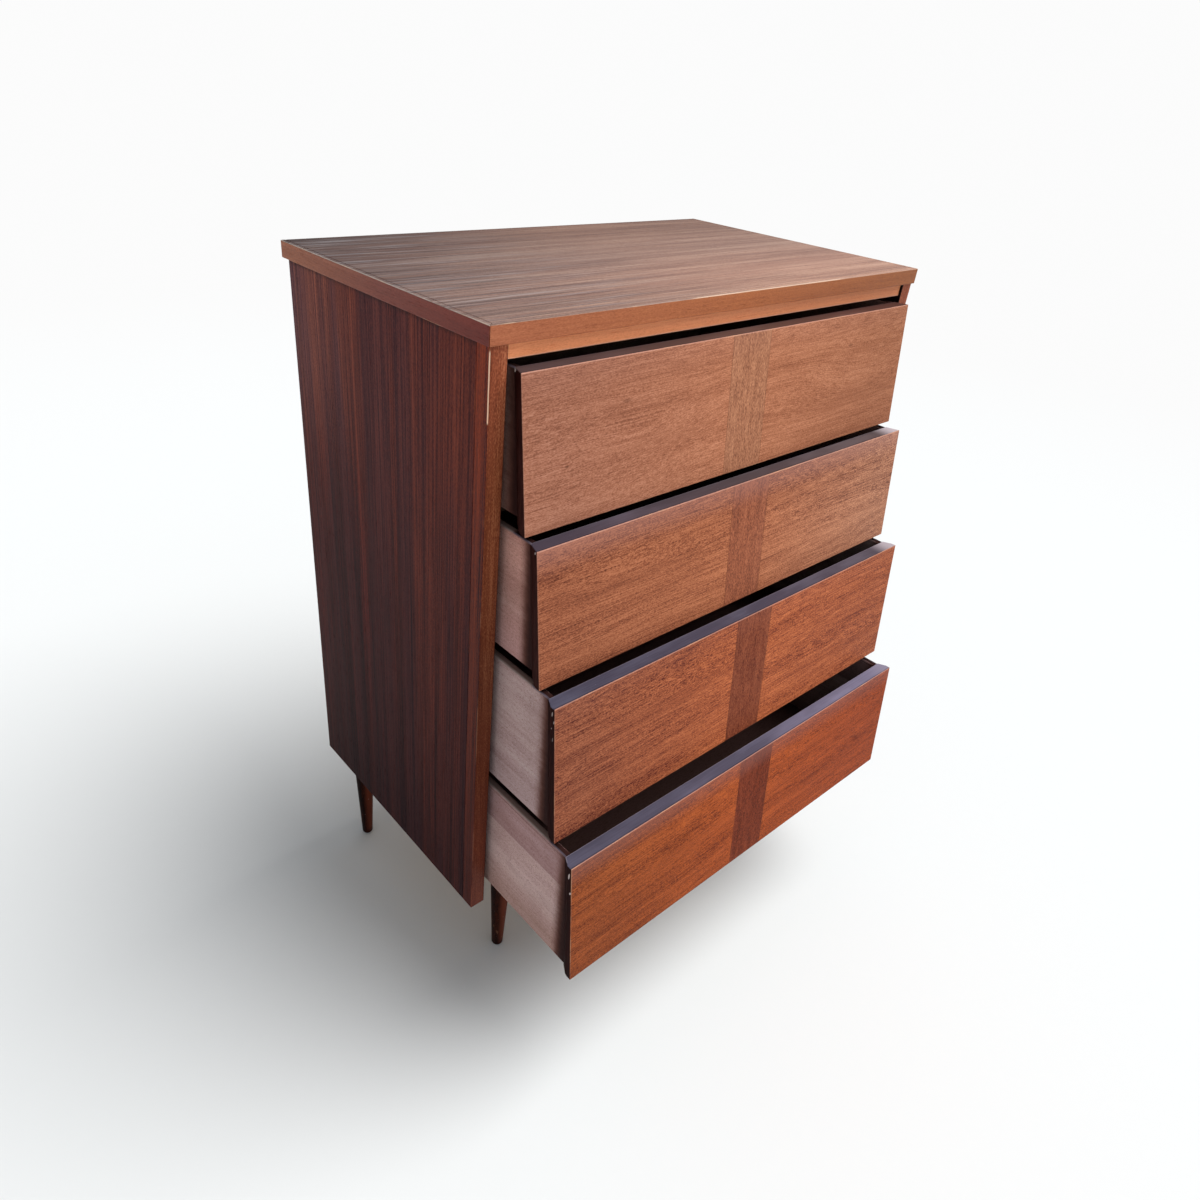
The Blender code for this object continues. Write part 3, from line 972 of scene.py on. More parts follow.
    def corner_line(self, graph: Graph, behind: Value) -> Value:
        """Measures how far a point of the painted strip lies from the strip's slanted ends.

        Args:
            graph: The face's graph.
            behind: How far each point lies behind the slanted face, in metres.

        Returns:
            The distance in metres.
        """
        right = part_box(self.node)[1].x
        slant = self.end_slant / (self.thickness - self.end_lip)
        cut_back = (behind - self.end_lip).most(0.0) * slant
        return (right - cut_back - graph.x.size()).size()

    def material(self) -> bpy.types.Material:
        """Builds the front's finish.

        Returns:
            The finished material.
        """
        low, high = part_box(self.node)
        graph = Graph(self.node + "_finish")
        ends = (graph.x - low.x).size().least((graph.x - high.x).size())
        slope = self.lean / (high.z - low.z)
        behind = graph.y - low.y - (graph.z - low.z) * slope
        on_face = behind.ramp(self.veneer_depth * 1.4, self.veneer_depth)
        on_top = (high.z - graph.z).ramp(*TOP_SKIN)
        solid = self.end_skin(graph, behind).under(graph, self.strip_skin(graph, behind), on_top)
        face = self.face_skin(graph, ends)
        return Lacquer(specular=0.03).close(graph, solid.under(graph, face, on_face))

    def build(self) -> None:
        """Finishes the front."""
        dress(self.node, self.material())


@dataclass
class DrawerBox:
    """The look of the plain box behind one front."""

    number: int
    height_light_and_shade: dict[float, Colour]
    wood: Wood = PALE_BOX
    upper_zone: float = 0.0
    lean: float = FRONT_LEAN
    front_thickness: float = FRONT_THICKNESS
    lean_at_foot: float = 0.65
    lean_rise: float = 0.35
    spray: Grain = Grain(0.01, 0.008, 5.0)
    spray_ragged: float = 0.006
    brown_cloud: Marks = Marks(0.09, 0.06, 4.0, start=0.42, full=0.8, share=0.3)
    grime: Marks = Marks(0.0022, 0.0018, 1.0, start=0.62, full=0.72, share=0.5)
    brown_reach: float = 0.02
    stain_reach: float = 0.012
    stain_full: float = -0.007
    front_end: Span = (0.036, 0.028)
    arris_depth: float = 0.0028
    arris_high: Span = (0.0026, 0.001)
    zone_soft: float = 0.0008
    scored_below: float = 0.005
    scored_line: Span = (0.001, 0.0004)
    scored_share: float = 0.5
    stain: Colour = screen(48, 27, 25)
    brown: Colour = screen(112, 72, 62)
    top_grey: Colour = screen(152, 128, 120)
    arris_grey: Colour = screen(188, 172, 166)
    arris_blue: Colour = screen(122, 116, 132)
    upper_tint: Colour = share(0.79, 0.7, 0.72)
    lower_tint: Colour = share(1.15, 1.17, 1.17)
    worn: Worn = Worn(screen(120, 88, 66), width=0.0015, patch=0.03, start=0.42, strength=0.5)
    nail_radius: float = 0.0019
    nail_inset: float = 0.03
    nails: int = 7

    def name(self, part: str) -> str:
        """Names one of the box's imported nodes."""
        return f"drawer_{self.number}_{part}"

    def side_material(self) -> bpy.types.Material:
        """Builds the sides' finish, darkened by overspray towards the front and stained along the top, with
        painted light and shade by height.

        Returns:
            The finished material.
        """
        low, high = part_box(self.name("front"))
        graph = Graph(self.name("side_finish"))
        rise = (graph.z - low.z) / (high.z - low.z)
        set_back = (self.lean_at_foot + rise * self.lean_rise) * self.lean
        behind = graph.y - (low.y + self.front_thickness) - set_back
        ragged = graph.swing(self.spray, Axis.Y)
        sprayed = behind + ragged * self.spray_ragged
        low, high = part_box(self.name("side_left"))
        below = high.z - graph.z
        # painted light and shade: the side lightens or darkens with height
        bare = self.wood.skin(graph).tint(graph, graph.sweep(rise, self.height_light_and_shade))
        bare.stain(graph, self.brown, graph.marks(self.brown_cloud, Axis.Y))
        if self.upper_zone:
            self.zone(graph, bare, below)
        bare.stain(graph, self.brown, graph.marks(self.grime, Axis.Y))
        bare.stain(graph, self.brown, sprayed.ramp(self.brown_reach, 0.0))
        bare.stain(graph, self.stain, sprayed.ramp(self.stain_reach, self.stain_full))
        on_top = below.ramp(*TOP_SKIN)
        near_front = sprayed.ramp(*self.front_end)
        bare.stain(graph, self.top_grey, on_top * (1 - near_front))
        bare.stain(graph, self.stain, on_top * near_front)
        from_outer = (graph.x.size() + low.x).size()
        arris = from_outer.ramp(self.arris_depth, self.arris_depth / 2) * below.ramp(*self.arris_high)
        rubbed_through = graph.mix(near_front, self.arris_grey, self.arris_blue)
        bare.stain(graph, rubbed_through, arris * (0.5 + ragged))
        return Lacquer(specular=0.05).close(graph, bare)

    def zone(self, graph: Graph, skin: Skin, below: Value) -> None:
        """Darkens the upper part of the side, above a straight soft-edged line, and scores a line near its
        top.

        Args:
            graph: The side's graph.
            skin: The side's skin, which is changed.
            below: How far each point lies below the side's top, in metres.
        """
        above = below.ramp(self.upper_zone + self.zone_soft, self.upper_zone - self.zone_soft)
        skin.tint(graph, graph.mix(above, self.lower_tint, self.upper_tint))
        scored = (below - self.scored_below).size().ramp(*self.scored_line)
        skin.stain(graph, self.stain, scored * self.scored_share)

    def plain_material(self, part: str, wood: Wood) -> bpy.types.Material:
        """Builds the finish of a bare wooden part.

        Args:
            part: The part's name.
            wood: Its wood.

        Returns:
            The finished material.
        """
        graph, skin = rubbed(self.name(part), wood, self.worn)
        return Lacquer().close(graph, skin)

    def add_nails(self, steel: bpy.types.Material) -> None:
        """Nails the bottom up into the back.

        Args:
            steel: The nails' finish.
        """
        low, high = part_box(self.name("back"))
        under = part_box(self.name("bottom"))[0].z
        build = bmesh.new()
        for x in span(low.x + self.nail_inset, high.x - self.nail_inset, self.nails):
            add_head(build, Vector((x, (low.y + high.y) / 2, under)), self.nail_radius, Axis.Z)
        add_piece(self.name("bottom_nails"), build, f"drawer_{self.number}", steel)

    def build(self, board: bpy.types.Material, steel: bpy.types.Material) -> None:
        """Finishes the box.

        Args:
            board: The finish of the thin bottom.
            steel: The finish of the nails.
        """
        side = self.side_material()
        dress(self.name("side_left"), side)
        dress(self.name("side_right"), side)
        dress(self.name("back"), self.plain_material("back", replace(self.wood, axis=Axis.X)))
        dress(self.name("guide_block"), self.plain_material("guide_block", PALE_FRAME))
        dress(self.name("bottom"), board)
        self.add_nails(steel)


def add_head(
    build: bmesh.types.BMesh, place: Vector, radius: float, axis: Axis, flat_share: float = 0.3
) -> None:
    """Adds one low domed nail head, sunk to its middle in the face that it holds.

    Args:
        build: The mesh that it joins.
        place: Its middle, on the face.
        radius: Its radius.
        axis: The direction that the nail points in.
        flat_share: How high the dome is, as a share of the radius.
    """
    scale = [1.0, 1.0, 1.0]
    scale[axis.value] = flat_share
    matrix = Matrix.Translation(place) @ Matrix.Diagonal((*scale, 1.0))
    bmesh.ops.create_uvsphere(
        build, u_segments=HEAD_SIDES, v_segments=HEAD_RINGS, radius=radius, matrix=matrix,
    )


@dataclass
class Top:
    """The look of the top slab: veneer above, solid bands round three edges."""

    veneer: Wood = WALNUT_TOP
    edge: Wood = replace(WALNUT_EDGE, middle=screen(166, 94, 61), light=screen(193, 119, 80))
    lacquer: Lacquer = Lacquer(coat=0.04, specular=0.2)
    skin_depth: float = 0.0009
    cloud: Grain = Grain(0.3, 0.04, 4.0)
    # painted sheen: pale grey patches on the left of the top
    sheen_patch: Marks = Marks(0.13, 0.004, 3.0, start=0.48, full=0.72, share=0.36)
    streak: Marks = Marks(0.22, 0.0028, start=0.5, full=0.66, share=0.9)
    scratch: Marks = Marks(0.06, 0.0012, 0.0, start=0.78, full=0.82, share=0.35)
    sheen_patch_shows: Span = (0.05, -0.35)
    streak_shows: Span = (0.05, -0.3)
    # painted shade: the top darkens to the left and at the back-left corner
    left_shade_fade: Span = (-0.68, 0.22)
    corner_shade_fade: Span = (0.25, 0.62)
    left_shade_tint: Colour = share(0.45, 0.52, 0.61)
    corner_shade_tint: Colour = share(0.53, 0.42, 0.41)
    streak_tint: Colour = share(0.5, 0.52, 0.56)
    sheen: Colour = screen(172, 168, 172)
    scratched: Colour = screen(196, 168, 140)
    front_rubbed: Colour = screen(232, 200, 174)
    left_rubbed: Colour = screen(214, 200, 190)
    rim_worn: Worn = Worn(screen(216, 184, 156), width=0.0009, start=0.54, strength=0.4)
    band_worn: Worn = Worn(screen(214, 160, 116), width=0.001, start=0.56, strength=0.45)
    bare_span: Span = (-0.12, 0.214)
    bare_soft: float = 0.03
    bare_width: float = 0.0012
    front_width: float = 0.0007
    left_width: float = 0.0009
    front_shows: Span = (1.1, 0.7)
    left_shows: Span = (1.2, 0.8)
    left_patches: Span = (-0.16, 0.04)
    front_share: float = 0.1
    bare_share: float = 0.65
    left_share: float = 0.6
    # painted shade: the top darkens towards the back
    depth_shade_tints: dict[float, Colour] = field(
        default_factory=lambda: {
            -0.13: share(0.97, 0.97, 0.96), -0.05: share(0.97, 0.97, 0.97),
            0.08: share(0.77, 0.82, 0.86), 0.28: share(0.53, 0.51, 0.49),
        }
    )
    side_tints: dict[float, Colour] = field(
        default_factory=lambda: {
            -0.13: share(0.46, 0.15, 0.17), 0.075: share(0.58, 0.39, 0.53), 0.29: share(0.97, 1.0, 1.0),
        }
    )
    front_tints: dict[float, Colour] = field(
        default_factory=lambda: {
            -0.4: share(0.96, 0.97, 1.0), 0.0: share(1.0, 0.97, 0.66), 0.4: share(0.74, 0.73, 0.4),
        }
    )

    def panel_material(self) -> bpy.types.Material:
        """Builds the veneered panel's finish.

        Returns:
            The finished material.
        """
        graph = Graph("top_panel_finish")
        return self.lacquer.close(graph, self.top_skin(graph))

    def top_skin(self, graph: Graph) -> Skin:
        """Builds the upper face's veneer, with painted shade towards the back and left, painted sheen on the
        left, streaks and scratches.

        Args:
            graph: The graph to build it in.

        Returns:
            The veneer's skin.
        """
        skin = self.veneer.skin(graph)
        cloud = graph.swing(self.cloud, Axis.X)
        # painted shade towards the left, the back and the back-left corner
        skin.tint(graph, graph.mix((graph.x + cloud * 0.5).ramp(*self.left_shade_fade), self.left_shade_tint, WHITE))
        skin.tint(graph, graph.sweep(graph.y + cloud * 0.12, self.depth_shade_tints))
        corner = (graph.y - graph.x * 0.9 + cloud * 0.3).ramp(*self.corner_shade_fade)
        skin.tint(graph, graph.mix(corner, WHITE, self.corner_shade_tint))
        # painted sheen: pale grey patches on the left of the top
        sheen_patches = graph.marks(self.sheen_patch, Axis.X) * graph.x.ramp(*self.sheen_patch_shows)
        skin.stain(graph, self.sheen, sheen_patches)
        streaks = graph.marks(self.streak, Axis.X) * graph.x.ramp(*self.streak_shows)
        skin.tint(graph, graph.mix(streaks, WHITE, self.streak_tint))
        skin.stain(graph, self.scratched, graph.marks(self.scratch, Axis.X))
        return self.rubbed_rim(graph, skin, cloud)

    def rubbed_rim(self, graph: Graph, skin: Skin, cloud: Value) -> Skin:
        """Rubs the upper face's rim, most of all over one stretch of the front.

        Args:
            graph: The face's graph.
            skin: Its skin, which is changed.
            cloud: The noise that breaks the rubbing up on the left.

        Returns:
            The rubbed skin.
        """
        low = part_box("top_edge_left")[0]
        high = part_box("top_edge_right")[1]
        from_left = (graph.x - low.x).size()
        from_front = (graph.y - low.y).size()
        start, end = self.bare_span
        bare = graph.x.ramp(start, start + self.bare_soft) * graph.x.ramp(end, end - self.bare_soft)
        front = from_front / (self.front_width + bare * self.bare_width)
        strength = self.front_share + bare * self.bare_share
        skin.stain(graph, self.front_rubbed, front.ramp(*self.front_shows) * strength)
        left = (from_left / self.left_width).ramp(*self.left_shows) * cloud.ramp(*self.left_patches)
        skin.stain(graph, self.left_rubbed, left * self.left_share)
        rim = from_left.least((graph.x - high.x).size()).least(from_front)
        return self.rim_worn.skin(graph, skin, rim)

    def band_material(self, name: str, axis: Axis) -> bpy.types.Material:
        """Builds one band's finish.

        Args:
            name: The band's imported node.
            axis: The direction of its grain.

        Returns:
            The finished material.
        """
        low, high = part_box(name)
        graph = Graph(name + "_finish")
        solid = replace(self.edge, axis=axis).skin(graph)
        if axis is Axis.Y:
            solid.tint(graph, graph.sweep(graph.y, self.side_tints))
        else:
            solid.tint(graph, graph.sweep(graph.x, self.front_tints))
        solid = self.band_worn.skin(graph, solid, graph.edge_distance(low, high))
        above = (high.z - graph.z).ramp(self.skin_depth, self.skin_depth * SKIN_SOFT)
        return self.lacquer.close(graph, solid.under(graph, self.top_skin(graph), above))

    def build(self) -> None:
        """Finishes the slab."""
        dress("top_panel", self.panel_material())
        dress("top_edge_front", self.band_material("top_edge_front", Axis.X))
        dress("top_edge_left", self.band_material("top_edge_left", Axis.Y))
        dress("top_edge_right", self.band_material("top_edge_right", Axis.Y))


@dataclass
class Case:
    """The look of the case: veneered sides, solid stiles and rail, bare frames inside and a nailed back."""

    side: Wood = WALNUT_SIDE
    stile: Wood = replace(
        WALNUT_EDGE, axis=Axis.Z, dark=screen(86, 41, 26), middle=screen(138, 70, 43),
        light=screen(190, 117, 78), fine_share=0.7, fibre_share=0.8,
    )
    # the rail's colours are paler than the bands' walnut: in part painted light, lifting it out of the top's
    # shadow
    rail: Wood = WALNUT_EDGE.dyed(screen(213, 130, 85), screen(240, 153, 106), screen(246, 168, 120))
    stile_side: Wood = replace(WALNUT_SIDE, middle=screen(123, 48, 28), light=screen(154, 64, 35))
    bare: Wood = PALE_FRAME
    band: Marks = Marks(0.8, 0.034, start=0.4, full=0.62)
    spray: Grain = Grain(0.02, 0.014, 4.0)
    spray_ragged: float = 0.02
    spray_end: Span = (0.034, 0.018)
    spray_share: float = 0.92
    side_worn: Worn = Worn(screen(150, 88, 62), width=0.001, patch=0.06, strength=0.5)
    rail_worn: Worn = Worn(strength=0.4)
    stile_worn: Worn = Worn(screen(206, 140, 100), patch=0.08, start=0.46, strength=0.5)
    frame_worn: Worn = Worn(screen(110, 78, 56), width=0.002, patch=0.03, start=0.4, strength=0.5)
    stain: Colour = screen(24, 16, 16)
    stain_depth: float = 0.0012
    shadow_below_top: float = 0.007
    top_shadow_share: float = 0.5
    veneer_depth: float = 0.0009
    rail_pale: Colour = screen(236, 190, 164)
    rail_rim: Span = (0.0022, 0.001)
    rail_rim_share: float = 0.45
    chip: Colour = screen(238, 196, 166)
    chip_heights: Span = (0.962, 1.041)
    chip_soft: float = 0.004
    chip_width: float = 0.0007
    chip_ragged: float = 0.0008
    chip_grain: Grain = Grain(0.012, 0.002)
    chip_depth: Span = (0.0012, 0.0009)
    chip_shows: Span = (1.0, 0.8)
    chip_roughness: float = 0.6
    chip_relief: float = -0.3
    head_heights: Span = (0.88, 1.0)
    foot_heights: Span = (0.6, 0.3)
    lower_heights: Span = (0.95, 0.6)
    lower_depths: Span = (-0.05, 0.2)
    upper_heights: Span = (0.75, 0.95)
    upper_depths: Span = (0.1, 0.28)
    rail_tints: dict[float, Colour] = field(
        default_factory=lambda: {-0.37: WHITE, 0.0: share(0.94, 0.95, 0.98), 0.37: share(0.78, 0.8, 0.83)}
    )
    # painted shade: the sides and stiles darken towards the floor
    side_tints: dict[float, Colour] = field(
        default_factory=lambda: {0.25: share(0.32, 0.29, 0.39), 0.62: share(0.57, 0.52, 0.57), 1.02: WHITE}
    )
    stile_shade_tints: dict[float, Colour] = field(
        default_factory=lambda: {0.25: share(0.44, 0.34, 0.38), 0.62: share(0.55, 0.57, 0.63), 1.02: WHITE}
    )
    # painted light at the head of the stile's front, painted shade at the foot of its outer side
    stile_head_light: Colour = share(1.06, 1.08, 1.2)
    stile_foot_shade: Colour = share(0.8, 0.85, 0.9)
    # painted shadow at the lower back, painted light high up at the back
    shaded_tint: Colour = share(0.76, 0.37, 0.39)
    cool_tint: Colour = share(0.8, 0.92, 1.1)
    warm_tint: Colour = share(1.17, 1.13, 0.92)
    upper_back_light: Colour = share(1.36, 1.95, 2.2)
    nail_radius: float = 0.0028
    nail_inset: float = 0.0075
    nails_wide: int = 9
    nails_high: int = 9

    def side_material(self, name: str) -> bpy.types.Material:
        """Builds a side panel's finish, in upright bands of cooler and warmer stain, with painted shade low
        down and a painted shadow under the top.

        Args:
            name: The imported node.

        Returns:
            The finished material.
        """
        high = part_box(name)[1]
        graph, skin = rubbed(name, self.side, self.side_worn)
        skin.tint(graph, graph.mix(graph.marks(self.band, Axis.Z), self.cool_tint, self.warm_tint))
        self.shade(graph, skin, self.side_tints)
        # painted shadow: a dark line under the top's overhang
        below = (high.z - graph.z).ramp(self.shadow_below_top, 0.0)
        skin.stain(graph, self.stain, below * self.top_shadow_share)
        return Lacquer(specular=0.05).close(graph, skin)

    def rail_material(self) -> bpy.types.Material:
        """Builds the top rail's finish, pale along its lower edge.

        Returns:
            The finished material.
        """
        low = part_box("top_rail")[0]
        graph, skin = rubbed("top_rail", self.rail, self.rail_worn)
        skin.stain(graph, self.rail_pale, (graph.z - low.z).ramp(*self.rail_rim) * self.rail_rim_share)
        return Lacquer().close(graph, skin.tint(graph, graph.sweep(graph.x, self.rail_tints)))

    def shade(self, graph: Graph, skin: Skin, tints: dict[float, Colour]) -> None:
        """Paints shade on an upright part: darker towards the floor and at the lower back, with painted light
        high up at the back.

        Args:
            graph: The part's graph.
            skin: Its skin, which is changed.
            tints: The tint at each height.
        """
        skin.tint(graph, graph.sweep(graph.z, tints))
        lower_back = graph.z.ramp(*self.lower_heights) * graph.y.ramp(*self.lower_depths)
        skin.tint(graph, graph.mix(lower_back, WHITE, self.shaded_tint))
        upper_back = graph.z.ramp(*self.upper_heights) * graph.y.ramp(*self.upper_depths)
        skin.tint(graph, graph.mix(upper_back, WHITE, self.upper_back_light))

    def stile_material(self, name: str, inner: float) -> bpy.types.Material:
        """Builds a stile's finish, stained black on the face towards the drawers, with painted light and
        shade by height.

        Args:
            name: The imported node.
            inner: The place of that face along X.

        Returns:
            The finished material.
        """
        low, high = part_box(name)
        graph = Graph(name + "_finish")
        outer = low.x + high.x - inner
        from_outer = (graph.x - outer).size()
        from_front = (graph.y - low.y).size()
        front = self.stile.skin(graph)
        # painted light high on the front, painted shade low on the outer side
        front.tint(graph, graph.mix(graph.z.ramp(*self.head_heights), WHITE, self.stile_head_light))
        side = self.stile_side.skin(graph)
        side.tint(graph, graph.mix(graph.z.ramp(*self.foot_heights), WHITE, self.stile_foot_shade))
        veneered = from_outer.ramp(self.veneer_depth, self.veneer_depth * SKIN_SOFT)
        skin = front.under(graph, side, veneered)
        skin = self.stile_worn.skin(graph, skin, from_outer.most(from_front))
        self.shade(graph, skin, self.stile_shade_tints)
        if outer < 0:
            skin = self.chipped(graph, skin, from_outer, from_front)
        black = (graph.x - inner).size().ramp(self.stain_depth, self.stain_depth * SKIN_SOFT)
        return Lacquer().close(graph, skin.stain(graph, self.stain, black))

    def chipped(self, graph: Graph, skin: Skin, from_outer: Value, from_front: Value) -> Skin:
        """Chips the left stile's outer corner near its top.

        Args:
            graph: The stile's graph.
            skin: Its skin.
            from_outer: How far each point lies from the outer face, in metres.
            from_front: How far each point lies from the front face, in metres.

        Returns:
            The chipped skin.
        """
        bottom, top = self.chip_heights
        here = graph.z.ramp(bottom, bottom + self.chip_soft) * graph.z.ramp(top, top - self.chip_soft)
        ragged = graph.grain(self.chip_grain, Axis.Z) * self.chip_ragged + self.chip_width
        here = here * (from_outer / ragged).ramp(*self.chip_shows) * from_front.ramp(*self.chip_depth)
        return skin.under(graph, Skin(self.chip, self.chip_roughness, self.chip_relief), here)

    def inner_material(self, name: str, axis: Axis) -> bpy.types.Material:
        """Builds a bare inner part's finish, stained dark at its front edge.

        Args:
            name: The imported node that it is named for.
            axis: The direction of its grain.

        Returns:
            The finished material.
        """
        graph, skin = rubbed(name, replace(self.bare, axis=axis), self.frame_worn)
        ragged = graph.grain(self.spray, Axis.Y) * self.spray_ragged
        front = (graph.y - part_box("bottom_panel")[0].y + ragged).ramp(*self.spray_end)
        return Lacquer().close(graph, skin.stain(graph, self.stain, front * self.spray_share))

    def add_nails(self, steel: bpy.types.Material) -> None:
        """Nails the back panel on round its rim.

        Args:
            steel: The nails' finish.
        """
        low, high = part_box("back_panel")
        build = bmesh.new()
        left, right = low.x + self.nail_inset, high.x - self.nail_inset
        bottom, top = low.z + self.nail_inset, high.z - self.nail_inset
        heights = span(bottom, top, self.nails_high)
        places = [(x, z) for x in span(left, right, self.nails_wide) for z in (bottom, top)]
        places += [(x, z) for z in heights[1:-1] for x in (left, right)]
        for x, z in places:
            add_head(build, Vector((x, high.y, z)), self.nail_radius, Axis.Y)
        add_piece("back_nails", build, "case", steel)

    def build(self, board: bpy.types.Material, steel: bpy.types.Material) -> None:
        """Finishes the case.

        Args:
            board: The finish of the back panel.
            steel: The finish of the nails.
        """
        for side in ("side_panel_left", "side_panel_right"):
            dress(side, self.side_material(side))
        dress("stile_left", self.stile_material("stile_left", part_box("stile_left")[1].x))
        dress("stile_right", self.stile_material("stile_right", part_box("stile_right")[0].x))
        dress("top_rail", self.rail_material())
        dress("back_panel", board)
        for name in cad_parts:
            if name.startswith(("divider_rail", "top_back_rail", "bottom_panel")):
                dress(name, self.inner_material(name, Axis.X))
            elif name.startswith(("runner", "centre_guide", "leg_block")):
                dress(name, self.inner_material(name, Axis.Y))
        self.add_nails(steel)


@dataclass
class TurnedLeg:
    """A slim turned leg that tapers to a rounded tip, with its bolt standing out of its top."""

    node: str
    top_radius: float = 0.019
    tip_radius: float = 0.0095
    tip_round: float = 0.004
    bolt_radius: float = 0.004
    bolt_length: float = 0.009
    shoulder_high: float = 0.0015
    shoulder_in: float = 0.0012
    turns: int = 64
    arc_steps: int = 6
    chip: Marks = Marks(0.02, 0.008, start=0.7, full=0.74, share=0.35)
    speck: Marks = Marks(0.004, 0.003, 1.0, start=0.76, full=0.79, share=0.5)
    speck_heights: Span = (0.14, 0.05)
    lit_faces: Span = (-0.1, 0.7)
    lit_heights: Span = (0.0, 0.02)
    lit_share: float = 0.8
    tip_worn: Worn = Worn(screen(110, 66, 44), width=0.006, patch=0.012, start=0.58, strength=0.4)
    lit_side_colour: Colour = screen(104, 50, 34)
    chip_colour: Colour = screen(150, 104, 78)
    speck_colour: Colour = screen(196, 186, 180)

    def outline(self) -> list[tuple[float, float]]:
        """Lists the outline's points, as radius and height, from the tip up.

        Returns:
            The points of half of the leg's section.
        """
        low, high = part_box(self.node)
        shoulder = high.z - self.bolt_length
        points = [(0.0, low.z)]
        for i in range(self.arc_steps + 1):
            turn = math.radians(90) * i / self.arc_steps
            radius = self.tip_radius - self.tip_round * (1 - math.sin(turn))
            points.append((radius, low.z + self.tip_round * (1 - math.cos(turn))))
        points.append((self.top_radius - self.shoulder_in / 2, shoulder - self.shoulder_high))
        points.append((self.top_radius - self.shoulder_in, shoulder))
        points += [(self.bolt_radius, shoulder), (self.bolt_radius, high.z), (0.0, high.z)]
        return points

    def material(self) -> bpy.types.Material:
        """Builds the leg's dark stain, with a painted highlight on its right front and worn at the tip.

        Returns:
            The finished material.
        """
        low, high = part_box(self.node)
        graph = Graph(self.node + "_finish")
        skin = LEG_STAIN.skin(graph)
        # painted highlight: the leg's right front, towards the light, is lighter and redder
        outward = (graph.x - graph.y - (low.x + high.x - low.y - high.y) / 2) / self.top_radius
        above_floor = graph.z - low.z
        thin = outward.ramp(*self.lit_faces) * above_floor.ramp(*self.lit_heights)
        skin.stain(graph, self.lit_side_colour, thin * self.lit_share)
        skin = self.tip_worn.skin(graph, skin, above_floor.size())
        skin.stain(graph, self.chip_colour, graph.marks(self.chip, Axis.Z))
        specks = graph.marks(self.speck, Axis.Z) * above_floor.ramp(*self.speck_heights)
        skin.stain(graph, self.speck_colour, specks)
        return Lacquer(specular=0.04).close(graph, skin)

    def build(self) -> None:
        """Turns the leg on its own axis."""
        low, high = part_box(self.node)
        centre = Vector(((low.x + high.x) / 2, (low.y + high.y) / 2, 0.0))
        build = bmesh.new()
        outline = self.outline()
        points = [build.verts.new(centre + Vector((radius, 0.0, height))) for radius, height in outline]
        edges = [build.edges.new(pair) for pair in zip(points, points[1:])]
        bmesh.ops.spin(
            build, geom=points + edges, cent=centre, axis=Vector((0.0, 0.0, 1.0)),
            angle=math.tau, steps=self.turns, use_merge=True,
        )
        bmesh.ops.remove_doubles(build, verts=build.verts, dist=WELD_DISTANCE)
        piece = add_piece("turned_" + self.node, build, "case", self.material())
        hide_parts(self.node)


